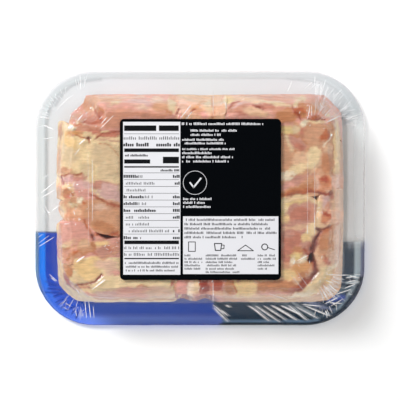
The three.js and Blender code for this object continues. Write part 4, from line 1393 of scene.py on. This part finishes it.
def make_creases(material):
    """Lays the lines on the film, a point every millimetre, and gives them their ridges."""
    points, edges, widths, strengths = [], [], [], []
    for strength, width, line in creases:
        line = np.array(line, dtype=float)
        lengths = np.concatenate([[0], np.cumsum(np.linalg.norm(np.diff(line, axis=0), axis=1))])
        spots = np.linspace(0, lengths[-1], max(3, int(lengths[-1])))
        plan = np.column_stack([np.interp(spots, lengths, line[:, axis]) for axis in (0, 1)])
        first = len(points)
        points += [(x, y, z + 0.02) for (x, y), z in zip(plan, film_height(plan))]
        edges += [(first + step, first + step + 1) for step in range(len(spots) - 1)]
        widths += [width * MM] * len(spots)
        strengths += [min(1, 1.25 * strength)] * len(spots)
    mesh = bpy.data.meshes.new("film_creases")
    mesh.from_pydata([tuple(np.array(point) * MM) for point in points], edges, [])
    mesh.attributes.new("half_width", "FLOAT", "POINT").data.foreach_set("value", widths)
    mesh.attributes.new("strength", "FLOAT", "POINT").data.foreach_set("value", strengths)
    piece = add_object("film_creases", mesh)
    nodes = piece.modifiers.new("creases", "NODES")
    nodes.node_group = crease_tree(material)
    set_inputs(nodes, {"Step": 0.5 * MM, "Waver": 1.6, "Waver Scale": 500.0, "Seed": 3.0})
    mesh = bake(piece)
    mesh.shade_smooth()
    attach(piece, "root")
    print("creases", len(mesh.polygons), "faces")


make_creases(make_crease_highlights())


# %% [markdown]
# ## Label
# The label is black paper with a soft gloss. Its print is laid on it as thin flat shapes: two white panels,
# rules, bars and a few plain outlines. Lines of text are rows of small blocks, and nothing on it can be
# read.

# %% Paper and ink
def paper_or_ink(name, colour, roughness, shine):
    return plain_surface(name, {"Base Color": linear(colour), "Roughness": roughness,
                                "Specular IOR Level": shine})


black_paper = paper_or_ink("black_coated_paper", "020407", 0.22, 0.25)
white_ink = paper_or_ink("white_ink", "DCDCE0", 0.5, 0.1)
black_ink = paper_or_ink("black_ink", "0A0C10", 0.5, 0.1)
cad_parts["label"].data.materials[0] = black_paper
paper_top = label_high.z / MM
panel_rise = 0.02
ink_rise = 0.04

# %% [markdown]
# Flat shapes are given by their left, bottom, right and top edges in millimetres from the middle of the
# pack.

# %% Panels, bars and rules
left_panel = (-48.9, -47.9, -12.5, 49.4)
right_panel = (-10.8, -47.5, 49.9, -10.7)
bar_left, bar_right = -48.2, -13.4


def bar(top, height, left=bar_left, right=bar_right):
    return (left, top - height, right, top)


bars = [bar(32.5, 2.3), bar(21.2, 0.9), bar(-26.1, 2.3), bar(-37.2, 0.8)]
# Taller bars, two side by side
bars += [bar(47.1, 3.5, -48.2, -27.8), bar(47.1, 3.5, -26.1, -13.5)]
bars += [bar(25.5, 2.6, -48.2, -31.7), bar(27.2, 4.2, -23.6, -13.4)]
rules = [bar(41.9, 0.25), bar(-33.0, 0.2)]
rule_pitch = 4.33
rules += [bar(17.1 - rule_pitch * row, 0.25, bar_left + (3.2 if row == 8 else 0)) for row in range(10)]


def add_prism(builder, plan, low, high):
    """A closed block over the corners of a plan, in a mesh that is being built, all in millimetres."""
    below, above = ([builder.verts.new((x * MM, y * MM, level * MM)) for x, y in plan]
                    for level in (low, high))
    builder.faces.new(list(reversed(below)))
    builder.faces.new(above)
    for here in range(4):
        after = (here + 1) % 4
        builder.faces.new((below[here], below[after], above[after], above[here]))


def add_box(builder, left, bottom, right, top, low, high):
    add_prism(builder, [(left, bottom), (right, bottom), (right, top), (left, top)], low, high)


def add_outline(builder, corners, closed, width, low, high):
    """A line of even width along some corners, made of closed blocks that turn with it."""
    ends = corners[1:] + corners[:1] if closed else corners[1:]
    for (x1, y1), (x2, y2) in zip(corners, ends):
        length = math.hypot(x2 - x1, y2 - y1)
        ahead = ((x2 - x1) / length * width / 2, (y2 - y1) / length * width / 2)
        aside = (-ahead[1], ahead[0])
        plan = [(x + along * ahead[0] * 0.5 + side * aside[0], y + along * ahead[1] * 0.5 + side * aside[1])
                for x, y, along, side in ((x1, y1, -1, 1), (x1, y1, -1, -1), (x2, y2, 1, -1), (x2, y2, 1, 1))]
        add_prism(builder, plan, low, high)


def finish_print(builder, name, material):
    mesh = bpy.data.meshes.new(name)
    bmesh.ops.recalc_face_normals(builder, faces=builder.faces)
    builder.to_mesh(mesh)
    builder.free()
    mesh.materials.append(material)
    piece = add_object(name, mesh)
    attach(piece, "root")


def circle(x, y, radius, steps=28):
    turns = [2 * math.pi * step / steps for step in range(steps)]
    return [(x + radius * math.cos(turn), y + radius * math.sin(turn)) for turn in turns]


# Outlines: their corners, whether they close, and their width
white_outlines = [
    (circle(-3.2, 10.7, 7.5), True, 0.3),
    ([(-6.4, 10.8), (-4.0, 7.8), (0.6, 13.6)], False, 1.0),
]
black_outlines = [
    ([(-7.3, -33.0), (-3.0, -33.0), (-3.0, -27.0), (-7.3, -27.0)], True, 0.5),
    ([(9.8, -32.4), (13.2, -32.4), (13.8, -28.0), (9.2, -28.0)], True, 0.6),
    ([(13.8, -28.9), (15.4, -29.1), (15.2, -31.2), (13.6, -31.4)], False, 0.5),
    ([(24, -32.6), (34, -32.6), (29, -29.0)], True, 0.5),
    (circle(41.2, -30.2, 1.9, 16), True, 0.6),
    ([(43.2, -30.6), (47.6, -32.0)], False, 0.5),
]


def print_shapes(name, material, boxes, outlines, low, high):
    """One piece of print, made of flat boxes and outlines."""
    builder = bmesh.new()
    for box in boxes:
        add_box(builder, *box, low, high)
    for corners, closed, width in outlines:
        add_outline(builder, corners, closed, width, low, high)
    finish_print(builder, name, material)
    print(name, len(boxes), "boxes and", len(outlines), "outlines")


into_paper = 0.01
print_shapes("label_panels", white_ink, [left_panel, right_panel], white_outlines, paper_top - into_paper,
             paper_top + panel_rise)
print_shapes("label_marks", black_ink, bars + rules, black_outlines, paper_top, paper_top + ink_rise)

# %% [markdown]
# ### Rows of text
# A row of text is a line along which small blocks repeat. The node tree below walks each row at the pitch
# of its letters, leaves some out as the gaps between words, and makes a few taller. The pitch follows the
# letter height.

# %% Text rows: left end, right end, foot and letter height
white_rows = [
    (-11.3, 2.9, 47.4, 1.6), (3.9, 39.8, 47.4, 1.5),
    (-5.7, 23.9, 43.2, 1.4), (-5.7, 12.8, 40.5, 1.4),
    (-11.1, 14.7, 37.4, 1.4), (-11.1, 16.0, 35.1, 1.4),
    (-11.0, 21.7, 31.5, 1.2), (-11.0, 7.0, 28.9, 1.5), (-11.1, 20.6, 26.3, 1.5), (-11.1, 17.9, 23.6, 1.5),
    (-10.4, 7.0, -0.3, 1.5), (-10.4, 3.6, -2.7, 1.5), (-10.4, 6.4, -5.3, 1.5),
]
bold_rows = [
    (-48.2, -33.2, 33.8, 2.3), (-27.3, -13.4, 33.8, 2.3),
    (-48.2, -33.6, 27.4, 1.4),
    (-24.8, -13.5, 17.9, 1.4),
]
thin_rows = [(-48.2, -13.6, 38.1, 2.0)]
first_foot = 13.8
fact_rows = [
    (0, 8.1, 12.4, True), (1.3, 0, 18.9, True), (1.8, 0, 13.2, False), (0, 11.4, 17.7, True),
    (0, 7.4, 13.6, True), (0, 19.0, 22.1, True), (1.3, 0, 16.4, True), (1.3, 0, 16.4, False),
    (3.1, 0, 28.2, True), (0, 7.4, 11.4, True),
]
for row, (indent, bold_end, end, share) in enumerate(fact_rows):
    foot = first_foot - rule_pitch * row
    if bold_end:
        bold_rows.append((bar_left, bar_left + bold_end, foot, 1.9))
    thin_rows.append((bar_left + max(indent, bold_end + 0.9 if bold_end else 0), bar_left + end, foot, 1.7))
    if share:
        bold_rows.append((bar_right - 3.4, bar_right, foot, 1.9))
thin_rows += [(-48.2, -31.2, -31.6, 1.7), (-28.4, -13.6, -31.6, 1.7), (-48.2, -35.6, -35.8, 1.8),
              (-33.0, -13.6, -35.8, 1.8)]
small_rows = [(-47.6, -14.0, -41.0, 1.4), (-47.0, -14.3, -43.4, 1.3), (-47.0, -16.5, -45.8, 1.3)]
small_rows += [(-9.6, end, -13.6 - 2.77 * row, 1.5) for row, end in enumerate((47.1, 42.7, 45.2, 48.4, 26.8))]
columns = [(-9.6, (3.2, 11.4, 10.8, 9.2, 9.5)), (3.9, (18.8, 19.4, 16.4, 18.8, 18.2, 20.9)),
           (26.4, (3.0, 8.1)), (37.0, (10.4, 11.0, 6.6, 10.1, 5.3))]
for left, lengths in columns:
    small_rows += [(left, left + length, -36.2 - 2.12 * row, 1.25) for row, length in enumerate(lengths)]


# %% Node tree for blocks along rows
def text_tree(name, material, seed):
    tree = bpy.data.node_groups.new(name, "GeometryNodeTree")
    tree.interface.new_socket("Rows", in_out="INPUT", socket_type="NodeSocketGeometry")
    usual = {"Pitch": 0.58, "Block Width": 0.66, "Gaps": 0.14, "Ink Height": ink_rise * MM}
    for label, value in usual.items():
        socket = tree.interface.new_socket(label, in_out="INPUT", socket_type="NodeSocketFloat")
        socket.default_value = value
    tree.interface.new_socket("Text", in_out="OUTPUT", socket_type="NodeSocketGeometry")
    given = add_node(tree, "NodeGroupInput").outputs
    letter = add_node(tree, "GeometryNodeInputNamedAttribute", {"data_type": "FLOAT",
                                                                "Name": "letter"}).outputs[0]
    pitch = add_math(tree, "MULTIPLY", letter, given["Pitch"])
    lines = add_node(tree, "GeometryNodeMeshToCurve", {"Mesh": given["Rows"]}).outputs[0]
    stops = add_node(tree, "GeometryNodeResampleCurve", {"mode": "LENGTH", "Curve": lines, "Length": pitch})
    chance, tall_chance = (add_node(tree, "FunctionNodeRandomValue", {"data_type": "FLOAT", "Seed": number})
                           for number in (seed, seed + 1))
    is_letter = add_node(tree, "FunctionNodeCompare", {"data_type": "FLOAT", "operation": "GREATER_THAN",
                                                       0: chance.outputs[1], 1: given["Gaps"]}).outputs[0]
    tall = add_node(tree, "ShaderNodeMapRange", {
        "interpolation_type": "STEPPED", "Steps": 1.0, "From Min": 0.0, "From Max": 1.0, "To Min": 0.72,
        "To Max": 1.0, "Value": tall_chance.outputs[1],
    }).outputs[0]
    size = add_node(tree, "ShaderNodeCombineXYZ", {
        "X": add_math(tree, "MULTIPLY", pitch, given["Block Width"]),
        "Y": add_math(tree, "MULTIPLY", letter, tall), "Z": given["Ink Height"],
    }).outputs[0]
    cube = add_node(tree, "GeometryNodeMeshCube", {"Size": (1, 1, 1)}).outputs[0]
    footed = add_node(tree, "GeometryNodeTransform", {"Translation": (0, 0.5, 0.5),
                                                      "Geometry": cube}).outputs[0]
    blocks = add_node(tree, "GeometryNodeInstanceOnPoints", {
        "Points": stops.outputs[0], "Selection": is_letter, "Instance": footed, "Scale": size,
    }).outputs[0]
    real = add_node(tree, "GeometryNodeRealizeInstances", {0: blocks}).outputs[0]
    inked = add_node(tree, "GeometryNodeSetMaterial", {"Material": material, "Geometry": real}).outputs[0]
    add_node(tree, "NodeGroupOutput", {0: inked})
    return tree


def print_rows(name, rows, material, lift, seed, settings):
    points, heights, edges = [], [], []
    for left, right, foot, letter in rows:
        edges.append((len(points), len(points) + 1))
        points += [(left * MM, foot * MM, lift * MM), (right * MM, foot * MM, lift * MM)]
        heights += [letter * MM] * 2
    mesh = bpy.data.meshes.new(name)
    mesh.from_pydata(points, edges, [])
    mesh.attributes.new("letter", "FLOAT", "POINT").data.foreach_set("value", heights)
    piece = add_object(name, mesh)
    modifier = piece.modifiers.new("text", "NODES")
    modifier.node_group = text_tree(name, material, seed)
    set_inputs(modifier, settings)
    mesh = bake(piece)
    for attribute in [item for item in mesh.attributes if item.name == "letter"]:
        mesh.attributes.remove(attribute)
    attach(piece, "root")
    print(name, len(mesh.polygons) // 6, "blocks")


print_rows("text_white", white_rows, white_ink, paper_top, 31, {"Gaps": 0.12})
print_rows("text_bold", bold_rows, black_ink, paper_top + panel_rise, 32, {"Gaps": 0.06, "Block Width": 0.74})
print_rows("text_thin", thin_rows, black_ink, paper_top + panel_rise, 33, {"Block Width": 0.42})
print_rows("text_small", small_rows, black_ink, paper_top + panel_rise, 34, {"Block Width": 0.56})
